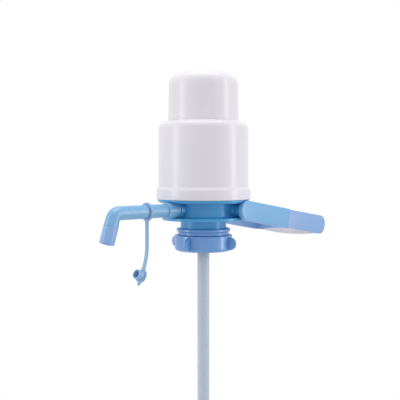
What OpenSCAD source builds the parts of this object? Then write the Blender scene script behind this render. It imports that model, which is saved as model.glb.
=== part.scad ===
// Hand pump for a large water jug.
// A sprung press cap squeezes a bellows, the air goes down into the jug, and the
// water comes up the dip tube and out of the spout.
// Frame: millimetres, +Z up, spout along -X, handle along +X, and the origin at the
// centre of the plane on which the rim of the jug seals.

/* [Neck clamp] */
// Diameter of the jug's crown that goes up into the socket
crown_d = 55; // [50:0.5:56]
// Clearance around the crown, on the radius
crown_gap = 0.4; // [0.2:0.1:0.8]
// Depth of the socket below the seat
socket_depth = 23.9; // [20:0.1:26]
// Wall of the clamp's fingers
finger_wall = 2; // [1.6:0.1:2.4]
// Number of slots between the fingers
finger_slots = 8; // [4:1:12]
// Width of a slot
slot_w = 1.6; // [1:0.1:3]
// Height that the snap bead stands out of the fingers
bead_proud = 0.9; // [0.6:0.1:1.2]
// Height of the plain step above the nut
step_h = 4; // [3.5:0.1:7]
// Amount that the step stands out of the fingers
step_proud = 0.7; // [0.5:0.1:1.5]
// Height of the round flange
flange_h = 3.6; // [2.5:0.1:5]
// Amount that the flange stands out of the step
flange_proud = 1.7; // [1:0.1:3]
// Thickness of the web over the gasket
web_t = 1.6; // [1.4:0.1:3]
// How far the gasket lies in from the bore of the body's neck
gasket_lap = 2.4; // [1.6:0.2:3]
// Thickness of the neck gasket
gasket_t = 1.4; // [1.2:0.1:2.5]

/* [Collar nut] */
// Clearance between the nut and the fingers, on the radius
nut_gap = 0.35; // [0.3:0.05:0.5]
// Wall of the nut
nut_wall = 4.3; // [3.4:0.1:6]
// Thickness of the nut's bottom lip
nut_lip_t = 1.7; // [1.2:0.1:2.5]
// Radius of the nut's bottom edge
nut_round = 4; // [2:0.1:4.5]
// Number of finger lugs
lug_count = 4; // [3:1:8]
// Turn of the first lug from +X, in degrees
lug_turn = 16; // [0:1:90]
// Radius of a lug's half disc
lug_r = 7.5; // [5:0.1:8]
// Thickness of a lug
lug_t = 3.2; // [2.5:0.1:5]
// Amount that a lug stands out of the nut
lug_proud = 9.2; // [5:0.1:10]

/* [Body] */
// Diameter of the body's neck
neck_d = 54.8; // [52:0.2:58]
// Wall of the body
body_wall = 2.5; // [2:0.1:3]
// Height of the body's neck
neck_h = 10.3; // [8:0.1:12]
// Radius of the lower dish
dish_r = 49.5; // [46:0.5:50]
// Thickness of the lower dish at its edge
dish_t = 3.5; // [2:0.1:4]
// Radius of the waist
waist_r = 39; // [37:0.5:41]
// Radius of the fillet from the dish to the waist
low_fillet = 2.6; // [1:0.1:9]
// Radius of the fillet from the waist to the rim
high_fillet = 2; // [1:0.1:8]
// Height from the bottom of the dish to the top of the rim
spool_h = 24.7; // [23:0.1:28]
// Radius of the body under its top lip
rim_r = 53.2; // [51:0.2:53.6]
// Height of the plain rim under the lip
rim_h = 1.2; // [1:0.1:3]
// Radius of the top lip
lip_r = 55; // [54.6:0.1:55.5]
// Height of the top lip
lip_h = 2.8; // [2:0.1:3]
// Height of the spigot that the guide cup fits over
cup_spigot_h = 6; // [4:0.5:9]

/* [Deck and bellows] */
// Thickness of the deck plate and of the pusher plate
plate_t = 2.5; // [2:0.1:3.5]
// Thickness of the deck gasket
deck_gasket_t = 1; // [0.6:0.1:1.4]
// Radius of the middle of the bellows cuffs
cuff_r = 36.2; // [34.5:0.1:36.4]
// Wall of the bellows
bellows_wall = 1.2; // [0.8:0.1:1.4]
// Height of a cuff
cuff_h = 6.4; // [5:0.2:8]
// Depth of a pleat
pleat_depth = 5; // [3:0.5:7]
// Number of pleats
pleats = 9; // [6:1:14]
// Thickness of a clamp band around a cuff
clamp_t = 0.7; // [0.5:0.1:0.8]
// Height of a clamp band
clamp_h = 4; // [3:0.1:4.5]
// Mean radius of the return spring
spring_r = 24; // [23.6:0.1:24.6]
// Wire diameter of the return spring
wire_d = 2.4; // [1.6:0.1:2.6]
// Turns of the return spring
spring_turns = 9; // [6:1:14]
// Radius of the deck screws' circle
deck_screw_r = 29.5; // [29:0.1:30]
// Distance of the outlet valve from the axis
valve_x = 14.5; // [13.6:0.1:14.8]
// Radius of a valve disc
valve_r = 6.5; // [6.2:0.1:7]
// Thickness of a valve disc
valve_t = 1.2; // [0.8:0.1:1.6]
// Lift of a valve
valve_lift = 1.2; // [0.6:0.1:1.6]

/* [White cups] */
// Height of the guide cup
cup_h = 92.6; // [88:0.2:100]
// Inner radius of the guide cup
cup_bore = 51; // [50.6:0.1:51.4]
// Wall of the guide cup at its foot
cup_wall = 3.1; // [2.8:0.1:3.1]
// Amount that the guide cup narrows on its way up, on the radius
cup_taper = 0.6; // [0.2:0.1:0.8]
// Radius of the guide cup's shoulder
cup_round = 9; // [5:0.5:9.5]
// Length of the sleeve that guides the press cap
guide_h = 12.6; // [10:0.2:16]
// Wall of that sleeve
guide_wall = 2.2; // [1.6:0.1:3]
// Height of the lock band
band_h = 15; // [12:0.5:18]
// Radius of the lock band
band_r = 56.5; // [55.6:0.1:56.6]
// Height of the band's top bevel
band_bevel_h = 3.6; // [2:0.2:5]
// Radius of the press cap where it leaves the guide cup
press_r = 42.2; // [41.6:0.1:42.6]
// Amount that the press cap narrows on its way up, on the radius
press_taper = 0.8; // [0.3:0.1:1]
// Height of the press cap above the guide cup
press_h = 60.6; // [58:0.2:68]
// Radius of the press cap's top edge
press_round = 15; // [10:0.5:16]
// Rise of the press cap's dome
dome_h = 2; // [1:0.2:3]
// Wall of the press cap
press_wall = 2.4; // [2:0.1:2.6]
// Running gap of the press cap in its guide, on the radius
press_gap = 0.5; // [0.35:0.05:0.8]
// Height of the runner ring at the foot of the press cap
runner_h = 12; // [8:0.5:16]
// Stroke of the press cap
stroke = 46; // [30:1:48]

/* [Spout] */
// Height of the spout's axis above the top of the neck clamp
spout_rise = 23.1; // [22.5:0.1:23.1]
// Radius of the root ring on the body
root_r = 10.3; // [10.1:0.05:10.4]
// Distance from the waist to the end of the root ring
root_proud = 5.8; // [2.5:0.1:6]
// Diameter of the spout pipe
pipe_d = 15.5; // [15.3:0.1:16]
// Wall of the spout pipe
pipe_wall = 1.5; // [1.3:0.1:1.7]
// Distance from the root ring to the elbow
pipe_run = 90.8; // [80:0.2:120]
// Lean of the down leg away from the vertical, in degrees
leg_lean = 17.6; // [5:0.2:30]
// Length of the pipe's down leg
leg_len = 15.2; // [14:0.2:25]
// Radius of the pipe at the end of its down leg
leg_end_r = 8.2; // [7.8:0.05:8.4]
// Length of the nozzle that shows
nozzle_len = 19; // [14:0.5:30]
// Wall of the nozzle
nozzle_wall = 2.5; // [1.2:0.05:2.6]
// Length of the nozzle's spigot in the pipe
nozzle_plug = 6; // [4:0.5:6]
// Length of the ferrule at the root of the pipe
ferrule_len = 20.3; // [12:0.1:24]
// Radius of the ferrule
ferrule_r = 9; // [8.2:0.05:9.1]
// Radius of the water channel
channel_r = 4; // [3:0.1:4.2]

/* [Plug and strap] */
// Distance from the root ring to the strap's ring
ring_at = 44.5; // [30:0.1:60]
// Wall of the strap's ring
ring_wall = 2.5; // [2:0.1:3]
// Width of the strap's ring
ring_w = 3.5; // [2.5:0.1:5]
// Width of the strap
strap_w = 4.6; // [3:0.1:6]
// Thickness of the strap
strap_t = 2.2; // [1.4:0.1:2.4]
// Length of the strap's straight stretch
strap_straight = 27; // [15:1:35]
// Length of the strap's curved stretch
strap_curve = 28; // [18:1:35]
// Turn of the curved stretch, in degrees
strap_turn = 23; // [10:1:40]
// Radius of the plug's flange
plug_flange_r = 8.1; // [7:0.1:9.5]
// Radius of the plug
plug_r = 5.5; // [5:0.05:5.5]
// Length of the plug
plug_len = 7.5; // [5:0.1:10]
// Wall of the plug
plug_wall = 1.35; // [1:0.05:1.6]

/* [Dip tube] */
// Outer diameter of the dip tube
tube_d = 14.4; // [14:0.1:15]
// Wall of the dip tube
tube_wall = 1.6; // [1.4:0.1:1.8]
// Length of each half of the dip tube
tube_half = 239; // [150:1:260]
// Length of the coupler
coupler_len = 30; // [24:1:60]
// Wall of the coupler and of the foot
coupler_wall = 1.6; // [1.2:0.1:2.5]
// Length of the foot
foot_len = 22; // [16:1:32]
// Height of the foot's openings
foot_slot = 8; // [5:0.5:12]

/* [Handle] */
// Distance of the handle's pivot in front of the axis
pivot_x = 18; // [15:0.1:19]
// Height of the handle's pivot above the top of the neck clamp
pivot_rise = 22.1; // [21.8:0.1:22.4]
// Radius of the trunnion on the body
trunnion_r = 8.4; // [8.2:0.1:9]
// Distance from the middle plane to an arm's inner face
arm_in = 50.5; // [50.3:0.1:52]
// Thickness of an arm
arm_t = 6.5; // [6.2:0.1:8]
// Radius of the arm's round end
arm_end_r = 11.8; // [10.4:0.1:11.9]
// Height of the arm where the sleeve ends
sleeve_end_h = 24.4; // [23:0.1:25]
// Length of the sleeve, from the pivot
sleeve_len = 76; // [55:0.5:85]
// Step down from the sleeve to the bow, all round
bow_step = 1; // [0.4:0.1:1.2]
// Distance from the pivot to the outer end of the bow
bow_reach = 151.7; // [140:0.1:165]
// Height of the bow at its outer end
bow_end_h = 23.8; // [23:0.1:25]
// Radius of the bow's outer corners
bow_round = 10; // [3:0.1:11]
// Thickness of the bow's cross bar
bar_t = 8; // [6:0.1:10]
// Length of the tongue that holds the bow in a sleeve
tongue_len = 20; // [12:1:30]
// Thickness of the tongue
tongue_t = 3.2; // [2.6:0.1:3.6]
// Length of the palm grip
grip_len = 80; // [60:1:90]
// Height of the palm grip at its middle
grip_h = 30; // [27:0.1:34]
// Depth of the palm grip at its middle
grip_depth = 14; // [12:0.5:20]
// How far the palm grip wraps up the bar at its middle
grip_wrap = 6; // [4:0.2:9]
// Height of the bar's core inside the palm grip
core_h = 19.6; // [16:0.2:21]
// Thickness of the bar's core inside the palm grip
core_t = 6; // [4:0.1:6.4]
// Droop of the handle at rest, in degrees
droop = 9.5; // [8:0.5:12]
// Swing of the handle up from its rest, in degrees
handle_swing = 13; // [8:1:13]
// Radius of a pivot pin
pin_r = 3.5; // [3:0.1:3.8]

/* [Fasteners] */
// Radius of a screw's shank
shank_r = 1.2; // [1:0.05:1.4]
// Radius of a screw's head
head_r = 2.9; // [2.4:0.1:3]
// Height of a screw's head
head_h = 1.8; // [1.4:0.1:2.2]
// Length of a screw under its head
screw_len = 11; // [9:0.5:13]

/* [Hidden] */
$fn = 96;

// Colours
white = [0.91, 0.91, 0.93];
cyan_blue = [0.47, 0.70, 0.87];
soft_blue = [0.55, 0.68, 0.90];
milky = [0.80, 0.86, 0.93];
rubber = [0.86, 0.87, 0.88];
steel = [0.72, 0.73, 0.75];

// Clearances
fit_gap = 0.1;   // between pieces that are pushed together
run_gap = 0.08;  // between a pin or pipe and what turns on it
free_gap = 0.3;  // between faces that pass or stop each other
eps = 0.01;

// Heights on the axis
clamp_top = gasket_t + web_t;
flange_z = clamp_top - flange_h;
step_z = flange_z - step_h;
nut_top = step_z - free_gap;
nut_z = -socket_depth;
finger_z = nut_z + nut_lip_t + free_gap;
bead_z = finger_z + 2.4;
bead_h = 1.6;
dish_z = clamp_top + neck_h;
floor_z = dish_z + body_wall;
body_top = dish_z + spool_h;
lip_z = body_top - lip_h;
rim_z = lip_z - rim_h;
ledge_z = rim_z + body_wall;
deck_z = ledge_z + deck_gasket_t;
deck_top = deck_z + plate_t;
cup_top = body_top + cup_h;
press_top = cup_top + press_h;
guide_z = cup_top - guide_h;
runner_top = guide_z - free_gap;
runner_z = runner_top - runner_h;
pusher_z = press_top - dome_h - press_round + 1.8;
pusher_top = pusher_z + plate_t;
spout_z = clamp_top + spout_rise;
pivot_z = clamp_top + pivot_rise;

// Radii of the neck clamp and the nut
socket_r = crown_d / 2 + crown_gap;
finger_r = socket_r + finger_wall;
step_r = finger_r + step_proud;
flange_r = step_r + flange_proud;
nut_bore = finger_r + nut_gap;
nut_r = nut_bore + nut_wall;
neck_r = neck_d / 2;
neck_bore = neck_r - body_wall;
gasket_bore = neck_bore - gasket_lap;

// Radii of the body and its lid
cavity_r = waist_r - body_wall;
spigot_ring_r = cup_bore - fit_gap;
recess_r = spigot_ring_r - 1.4;
deck_r = recess_r - fit_gap;
cuff_rim_r = cuff_r - bellows_wall / 2 - fit_gap;
cuff_rim_wall = 1.8;
clamp_in = cuff_r + bellows_wall / 2 + fit_gap;
spring_rim_r = (spring_r - wire_d / 2) * cos(15) - 0.2;
spring_rim_h = 2;

// Radii of the spout
pipe_r = pipe_d / 2;
pipe_bore = pipe_r - pipe_wall;
root_s = waist_r + root_proud;
pipe_s = root_s - 2.5;
elbow_s = root_s + pipe_run;
bend_r = pipe_r + 0.9;
bend_reach = bend_r * tan(45 - leg_lean / 2);
ring_s = root_s + ring_at;
pipe_root_r = pipe_bore + 0.95;
riser_r = pipe_root_r;
nipple_r = pipe_bore - nut_gap;
nipple_len = 16;
oring_at = 9;
oring_d = 1.3;
ring_bore = pipe_r + run_gap;

// The bellows ends on the rims of the two plates
bellows_z = deck_top + fit_gap;
bellows_top = pusher_z - fit_gap;
pleat_z = bellows_z + cuff_h;
pleat_top = bellows_top - cuff_h;
spring_len = pusher_z - deck_top - 2 * fit_gap;

// Handle
tongue_h = 16;
bow_start = sleeve_len + fit_gap;
grip_x = bow_reach - bar_t / 2;

// Dip tube
tube_r = tube_d / 2;
tube_bore = tube_r - tube_wall;
tube_nipple_r = tube_bore - fit_gap;
riser_collar_z = dish_z + 4.2;
riser_collar_h = 2;
riser_nipple_len = 14;
upper_top = riser_collar_z - fit_gap;
joint_z = upper_top - tube_half;
coupler_ridge = 2;
lower_top = joint_z - coupler_ridge - 2 * fit_gap;
lower_end = lower_top - tube_half;
coupler_bore = tube_r + fit_gap;
coupler_r = coupler_bore + coupler_wall;

// ---- Shapes that repeat -------------------------------------------------------

// Points of an arc around c, from angle a0 to angle a1
function arc(c, r, a0, a1, n = 8) =
    [for (i = [0:n]) c + r * [cos(a0 + (a1 - a0) * i / n), sin(a0 + (a1 - a0) * i / n)]];

// A round ring between two radii and two heights
module ring(r_out, r_in, z0, z1) {
    rotate_extrude()
        translate([r_in, z0]) square([r_out - r_in, z1 - z0]);
}

// A plain round bar between two heights
module bar(r, z0, z1) {
    translate([0, 0, z0]) cylinder(r = r, h = z1 - z0);
}

// Puts a child at n even steps around the axis, at radius r
module around(n, r, turn = 0) {
    for (i = [0:n - 1])
        rotate(turn + 360 * i / n) translate([r, 0, 0]) children();
}

// A frame whose +Z runs out along the spout and whose +X is up
module on_spout() {
    translate([0, 0, spout_z]) rotate([0, -90, 0]) children();
}

// A frame at the elbow whose +Z runs down the spout's leg
module on_leg() {
    on_spout() translate([0, 0, elbow_s]) rotate([0, leg_lean - 90, 0]) children();
}

// The handle's frame at rest: +X out along the arms from the pivot
module on_handle() {
    translate([pivot_x, 0, pivot_z]) rotate([0, droop, 0]) children();
}

// A side profile drawn in X and Z, made solid from y0 towards -Y
module side_plate(y0, t) {
    translate([0, -y0, 0]) rotate([90, 0, 0]) linear_extrude(t) children();
}

// A screw with its head on the plane z = 0 and its shank below
module screw() {
    cylinder(r = head_r, h = head_h);
    translate([0, 0, -screw_len]) cylinder(r = shank_r, h = screw_len + eps);
}

// The ports around a valve's stem, and the hole for the stem
module valve_ports(z0, z1) {
    bar(2, z0, z1);
    around(5, 4) bar(1.1, z0, z1);
}

// A rubber check valve: a disc under z = 0, a stem, and a bulb that stops its fall
module check_valve() {
    translate([0, 0, -valve_t]) cylinder(r = valve_r, h = valve_t);
    bar(1.6, -eps, plate_t + valve_lift + 1.6);
    bar(2.7, plate_t + valve_lift, plate_t + valve_lift + 1.6);
}

// ---- Press cap and bellows ----------------------------------------------------

// Outline of the press cap, drawn in by an amount from its outside
function press_outline(inset) =
    let (
        top_r = press_r - press_taper,
        dome_z = press_top - dome_h,
        flat_r = top_r - press_round,
        corner = arc([flat_r, dome_z - press_round], press_round - inset, 0, 90)
    ) concat(
        [[0, runner_z], [press_r - inset, runner_z], [press_r - inset, cup_top]],
        corner,
        [[flat_r / 2, dome_z + dome_h * 0.75 - inset], [0, press_top - inset]]);

module press_cap() {
    lip_out = cup_bore - press_gap;
    color(white) {
        difference() {
            union() {
                rotate_extrude() polygon(press_outline(0));
                bar(lip_out, runner_z, runner_top);
            }
            difference() {
                rotate_extrude() polygon(press_outline(press_wall));
                around(3, 13, 30) bar(3.4, pusher_top, press_top);
            }
            ring(lip_out - 2.2, press_r - eps, runner_z - eps, runner_top - 2.5);
            bar(press_r - press_wall, runner_z - eps, runner_z + eps);
            around(3, 13, 30) bar(shank_r + 0.05, pusher_top - eps, pusher_top + 9);
        }
    }
}

module pusher_plate() {
    color(white)
        difference() {
            union() {
                bar(cuff_rim_r + 1.6, pusher_z, pusher_top);
                ring(cuff_rim_r, cuff_rim_r - cuff_rim_wall, pusher_z - cuff_h, pusher_z + eps);
                ring(spring_rim_r, spring_rim_r - 1.6, pusher_z - spring_rim_h, pusher_z + eps);
            }
            valve_ports(pusher_z - eps, pusher_top + eps);
            around(3, 13, 30) bar(shank_r + 0.4, pusher_z - eps, pusher_top + eps);
        }
}

module pusher_screws() {
    color(steel)
        around(3, 13, 30) translate([0, 0, pusher_z]) mirror([0, 0, 1]) screw();
}

module intake_valve() {
    color(rubber) translate([0, 0, pusher_z]) check_valve();
}

module bellows() {
    r_out = cuff_r + bellows_wall / 2;
    r_in = cuff_r - bellows_wall / 2;
    pitch = (pleat_top - pleat_z) / pleats;
    inner = [for (i = [0:2 * pleats])
        [r_in - (i % 2) * pleat_depth, pleat_z + i * pitch / 2]];
    outer = [for (i = [2 * pleats:-1:0])
        [r_out - (i % 2) * pleat_depth, pleat_z + i * pitch / 2]];
    color(rubber)
        rotate_extrude()
            polygon(concat(
                [[r_out, bellows_z], [r_in, bellows_z]], inner,
                [[r_in, bellows_top], [r_out, bellows_top]], outer));
}

// Points of one ring of the spring's wire, square to its own helix
function coil_ring(a, z) =
    let (out = [cos(a), sin(a), 0])
    [for (k = [0:5]) let (w = wire_d / 2 * [cos(60 * k), sin(60 * k)])
        (spring_r + w[0]) * out + [0, 0, z + w[1]]];

module return_spring() {
    rings_per_turn = 12;
    n = spring_turns * rings_per_turn;
    rise = spring_len - wire_d;
    z0 = deck_top + fit_gap + wire_d / 2;
    points = [for (i = [0:n]) each coil_ring(360 * i / rings_per_turn, z0 + rise * i / n)];
    sides = [for (i = [0:n - 1], k = [0:5])
        let (a = 6 * i + k, b = 6 * i + (k + 1) % 6) each [[a, b, a + 6], [b, b + 6, a + 6]]];
    first = [for (k = [1:4]) [0, k + 1, k]];
    last = [for (k = [1:4]) [6 * n, 6 * n + k, 6 * n + k + 1]];
    color(steel) polyhedron(points, concat(sides, first, last));
}

module bellows_clamp(z) {
    color(steel) ring(clamp_in + clamp_t, clamp_in, z, z + clamp_h);
}

module bellows_clamp_upper() {
    bellows_clamp(bellows_top - cuff_h / 2 - clamp_h / 2);
}

module bellows_clamp_lower() {
    bellows_clamp(bellows_z + cuff_h / 2 - clamp_h / 2);
}

// ---- Guide cup and band -------------------------------------------------------

module guide_cup() {
    foot_r = cup_bore + cup_wall;
    top_r = foot_r - cup_taper;
    opening = press_r + press_gap;
    corner = arc([top_r - cup_round, cup_top - cup_round], cup_round, 0, 90);
    inner_round = cup_round - cup_wall / 2;
    inner = arc([cup_bore - inner_round, cup_top - cup_wall - inner_round + 0.5],
                inner_round, 90, 0);
    color(white)
        rotate_extrude()
            polygon(concat(
                [[cup_bore, body_top], [foot_r, body_top], [foot_r, body_top + band_h]],
                corner,
                [[opening, cup_top], [opening, guide_z], [opening + guide_wall, guide_z],
                 [opening + guide_wall, cup_top - cup_wall + 0.5]],
                inner));
}

module lock_band() {
    bore = cup_bore + cup_wall + fit_gap;
    top = body_top + band_h;
    color(white)
        rotate_extrude()
            polygon([
                [bore, body_top], [band_r - 0.6, body_top], [band_r, body_top + 0.6],
                [band_r, top - band_bevel_h], [bore + 0.3, top], [bore, top]]);
}

// ---- Body, deck and water channel ---------------------------------------------

// Outside of the body: neck, lower dish, waist, rim and lip
function body_outline() =
    concat(
        [[0, gasket_t], [neck_r, gasket_t], [neck_r, dish_z], [dish_r - 0.8, dish_z],
         [dish_r, dish_z + 0.8], [dish_r, dish_z + dish_t]],
        arc([waist_r + low_fillet, dish_z + dish_t + low_fillet], low_fillet, 270, 180),
        arc([waist_r + high_fillet, rim_z - high_fillet], high_fillet, 180, 90),
        [[rim_r, rim_z], [rim_r, lip_z], [lip_r, lip_z], [lip_r, body_top],
         [spigot_ring_r, body_top], [spigot_ring_r, body_top + cup_spigot_h],
         [0, body_top + cup_spigot_h]]);

// Inside of the body: neck bore, cavity and the deck's recess
module body_hollow() {
    bar(neck_bore, gasket_t - eps, floor_z + eps);
    bar(cavity_r, floor_z, ledge_z + eps);
    bar(recess_r, ledge_z, body_top + cup_spigot_h + eps);
}

// A sector of a ring around the handle's pivot, from angle a0 to angle a1, on the -Y side
module pivot_sector(r_out, r_in, y0, y1, a0, a1) {
    rotate([90, 0, 0]) rotate(a0)
        rotate_extrude(angle = a1 - a0)
            translate([r_in, y0]) square([r_out - r_in, y1 - y0]);
}

stop_half = 12;   // half the width of the stop tooth, in degrees
stop_in = 5;
stop_out = 8;
stop_proud = 1.7;
stop_slack = 3;   // room at each end of the tooth's slot, in degrees

module trunnion() {
    translate([pivot_x, 0, pivot_z]) {
        rotate([90, 0, 0]) cylinder(r = trunnion_r, h = arm_in - free_gap);
        pivot_sector(stop_out, stop_in, arm_in - free_gap - eps, arm_in - free_gap + stop_proud,
                     180 - stop_half, 180 + stop_half);
    }
}

module pivot_bore(r, y0, y1) {
    translate([pivot_x, -y0, pivot_z]) rotate([90, 0, 0]) cylinder(r = r, h = y1 - y0);
}

// Room for an arm beside the rim and the lip, on the -Y side
module arm_room() {
    side_plate(arm_in - free_gap, arm_t + 4)
        translate([pivot_x, pivot_z]) {
            circle(r = arm_end_r + 2 * free_gap);
            translate([-arm_end_r / 3, 0])
                square([arm_end_r / 3 + 2 * arm_end_r, body_top + eps - pivot_z]);
        }
}

pin_in = waist_r + 1.5;    // where a pivot pin starts
pin_out = arm_in + 3.8;    // and where it ends, inside the arm

module pump_body() {
    color(cyan_blue)
        difference() {
            union() {
                difference() {
                    union() {
                        rotate_extrude() polygon(body_outline());
                        trunnion();
                        mirror([0, 1, 0]) trunnion();
                        on_spout() cylinder(r = root_r, h = root_s);
                    }
                    body_hollow();
                }
                around(4, deck_screw_r, 45) bar(3.4, floor_z - eps, deck_z);
            }
            around(4, deck_screw_r, 45)
                bar(shank_r + 0.05, deck_top - screw_len - 1, deck_z + eps);
            pivot_bore(pin_r + run_gap, pin_in - free_gap, arm_in);
            mirror([0, 1, 0]) pivot_bore(pin_r + run_gap, pin_in - free_gap, arm_in);
            on_spout() bar(riser_r + fit_gap, cavity_r - 6, root_s);
            on_spout() bar(ferrule_r + nut_gap, pipe_s - free_gap, lip_r + 1);
            intersection() {
                union() {
                    arm_room();
                    mirror([0, 1, 0]) arm_room();
                }
                bar(lip_r + 1, rim_z - eps, body_top + eps);
            }
        }
}

module deck_gasket() {
    color(rubber) ring(recess_r - fit_gap, cavity_r + 2, ledge_z, deck_z);
}

module deck_plate() {
    color(white)
        difference() {
            union() {
                bar(deck_r, deck_z, deck_top);
                ring(cuff_rim_r, cuff_rim_r - cuff_rim_wall, deck_top - eps, deck_top + cuff_h);
                ring(spring_rim_r, spring_rim_r - 1.6, deck_top - eps, deck_top + spring_rim_h);
            }
            translate([valve_x, 0, 0]) valve_ports(deck_z - eps, deck_top + eps);
            around(4, deck_screw_r, 45) bar(shank_r + 0.4, deck_z - eps, deck_top + eps);
        }
}

module deck_screws() {
    color(steel) around(4, deck_screw_r, 45) translate([0, 0, deck_top]) screw();
}

module outlet_valve() {
    color(rubber) translate([valve_x, 0, deck_z]) check_valve();
}

module water_riser() {
    low = riser_collar_z - riser_nipple_len;
    nipple_s = pipe_s - free_gap;
    color(white)
        difference() {
            union() {
                bar(tube_nipple_r, low, riser_collar_z + eps);
                bar(tube_r + 1, riser_collar_z, riser_collar_z + riser_collar_h);
                bar(riser_r, riser_collar_z, spout_z);
                translate([0, 0, spout_z]) sphere(r = riser_r);
                on_spout() bar(riser_r, 0, nipple_s);
                on_spout() bar(nipple_r, nipple_s - eps, nipple_s + nipple_len);
                bar(4, spout_z, deck_z);
            }
            bar(channel_r, low - eps, spout_z);
            translate([0, 0, spout_z]) sphere(r = channel_r);
            on_spout() bar(channel_r, 0, nipple_s + nipple_len + eps);
            on_spout() ring(nipple_r + 1, nipple_r - 1, nipple_s + oring_at - 0.8,
                            nipple_s + oring_at + 0.8);
        }
}

// ---- Neck clamp, nut and gasket -----------------------------------------------

module neck_clamp() {
    edge = 1.1;
    bead_r = finger_r + bead_proud;
    color(soft_blue)
        difference() {
            rotate_extrude()
                polygon(concat(
                    [[socket_r, finger_z], [finger_r, finger_z], [finger_r, bead_z - bead_proud],
                     [bead_r, bead_z], [bead_r, bead_z + bead_h], [finger_r, bead_z + bead_h],
                     [finger_r, step_z], [step_r, step_z]],
                    [[step_r, flange_z]],
                    arc([flange_r - edge, flange_z + edge], edge, 270, 360, 4),
                    arc([flange_r - edge, clamp_top - edge], edge, 0, 90, 4),
                    [[neck_r + fit_gap, clamp_top], [neck_r + fit_gap, gasket_t],
                     [socket_r, gasket_t]]));
            around(finger_slots, socket_r - 2, 22.5)
                translate([0, -slot_w / 2, finger_z - eps])
                    cube([finger_wall + 4, slot_w, step_z - finger_z - 1.5]);
        }
}

module neck_gasket() {
    color(rubber) ring(socket_r - fit_gap, gasket_bore, 0, gasket_t);
}

module collar_nut() {
    edge = 0.8;
    nut_mid = (nut_z + nut_top) / 2;
    bead_room = nut_bore + bead_proud;
    color(soft_blue)
        difference() {
            union() {
                rotate_extrude()
                    polygon(concat(
                        [[0, nut_z]],
                        arc([nut_r - nut_round, nut_z + nut_round], nut_round, 270, 360),
                        [[nut_r, nut_top - edge], [nut_r - edge, nut_top], [0, nut_top]]));
                around(lug_count, nut_r + lug_proud - lug_r, lug_turn)
                    translate([0, lug_t / 2, nut_mid])
                        rotate([90, 0, 0]) cylinder(r = lug_r, h = lug_t);
            }
            bar(socket_r + free_gap, nut_z - eps, nut_top + eps);
            bar(nut_bore, nut_z + nut_lip_t, nut_top + eps);
            bar(bead_room, bead_z - bead_proud - free_gap, bead_z + bead_h + free_gap);
        }
}

// ---- Dip tube -----------------------------------------------------------------

module dip_tube_upper() {
    color(milky) ring(tube_r, tube_bore, joint_z, upper_top);
}

module dip_tube_lower() {
    color(milky) ring(tube_r, tube_bore, lower_end, lower_top);
}

module tube_coupler() {
    mid = (joint_z + lower_top) / 2;
    color(white) {
        ring(coupler_r, coupler_bore, mid - coupler_len / 2, mid + coupler_len / 2);
        ring(coupler_bore + eps, tube_bore, mid - coupler_ridge / 2, mid + coupler_ridge / 2);
    }
}

module tube_foot() {
    top = lower_end + foot_len - foot_slot;
    bottom = lower_end - foot_slot;
    color(white)
        difference() {
            union() {
                ring(coupler_r, coupler_bore, bottom, top);
                ring(coupler_bore + eps, tube_bore, lower_end - fit_gap - 1.5, lower_end - fit_gap);
            }
            for (a = [0, 90])
                rotate(a) translate([-coupler_r - 1, -4, bottom - eps])
                    cube([2 * coupler_r + 2, 8, foot_slot - 2.4]);
        }
}

// ---- Spout --------------------------------------------------------------------

// The bend of the pipe, or of its bore, a little fuller than what runs into it
module elbow(r) {
    on_spout()
        translate([-bend_r, 0, elbow_s - bend_reach]) rotate([90, 0, 0])
            rotate_extrude(angle = 90 - leg_lean) translate([bend_r, 0]) circle(r = r + fit_gap);
}

module spout_pipe() {
    into_bend = 1;
    color(cyan_blue)
        difference() {
            union() {
                on_spout() bar(pipe_root_r, pipe_s, pipe_s + ferrule_len + 1);
                on_spout() bar(pipe_r, pipe_s + ferrule_len, elbow_s - bend_reach + into_bend);
                elbow(pipe_r);
                on_leg()
                    rotate_extrude()
                        polygon([
                            [0, bend_reach - into_bend], [pipe_r, bend_reach - into_bend],
                            [leg_end_r, leg_len], [0, leg_len]]);
            }
            on_spout() bar(pipe_bore, pipe_s - 1, elbow_s - bend_reach + into_bend);
            elbow(pipe_bore);
            on_leg() bar(pipe_bore, bend_reach - into_bend, leg_len + 1);
        }
}

module spout_ferrule() {
    edge = 0.5;
    color(cyan_blue)
        on_spout()
            rotate_extrude()
                polygon([
                    [pipe_root_r + fit_gap, pipe_s], [ferrule_r, pipe_s],
                    [ferrule_r, pipe_s + ferrule_len - edge - fit_gap],
                    [ferrule_r - edge, pipe_s + ferrule_len - fit_gap],
                    [pipe_root_r + fit_gap, pipe_s + ferrule_len - fit_gap]]);
}

module spout_oring() {
    color(rubber)
        on_spout() translate([0, 0, pipe_s - free_gap + oring_at])
            rotate_extrude()
                translate([nipple_r - 1 + oring_d / 2, 0]) circle(d = oring_d, $fn = 24);
}

module spout_nozzle() {
    r = plug_r + 0.25 + nozzle_wall;
    bore = plug_r + 0.25;
    edge = 0.4;
    color(soft_blue)
        on_leg()
            rotate_extrude()
                polygon([
                    [bore, leg_len - nozzle_plug], [pipe_bore - 0.05, leg_len - nozzle_plug],
                    [pipe_bore - 0.05, leg_len], [r, leg_len],
                    [r, leg_len + nozzle_len - edge], [r - edge, leg_len + nozzle_len],
                    [bore, leg_len + nozzle_len]]);
}

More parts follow.
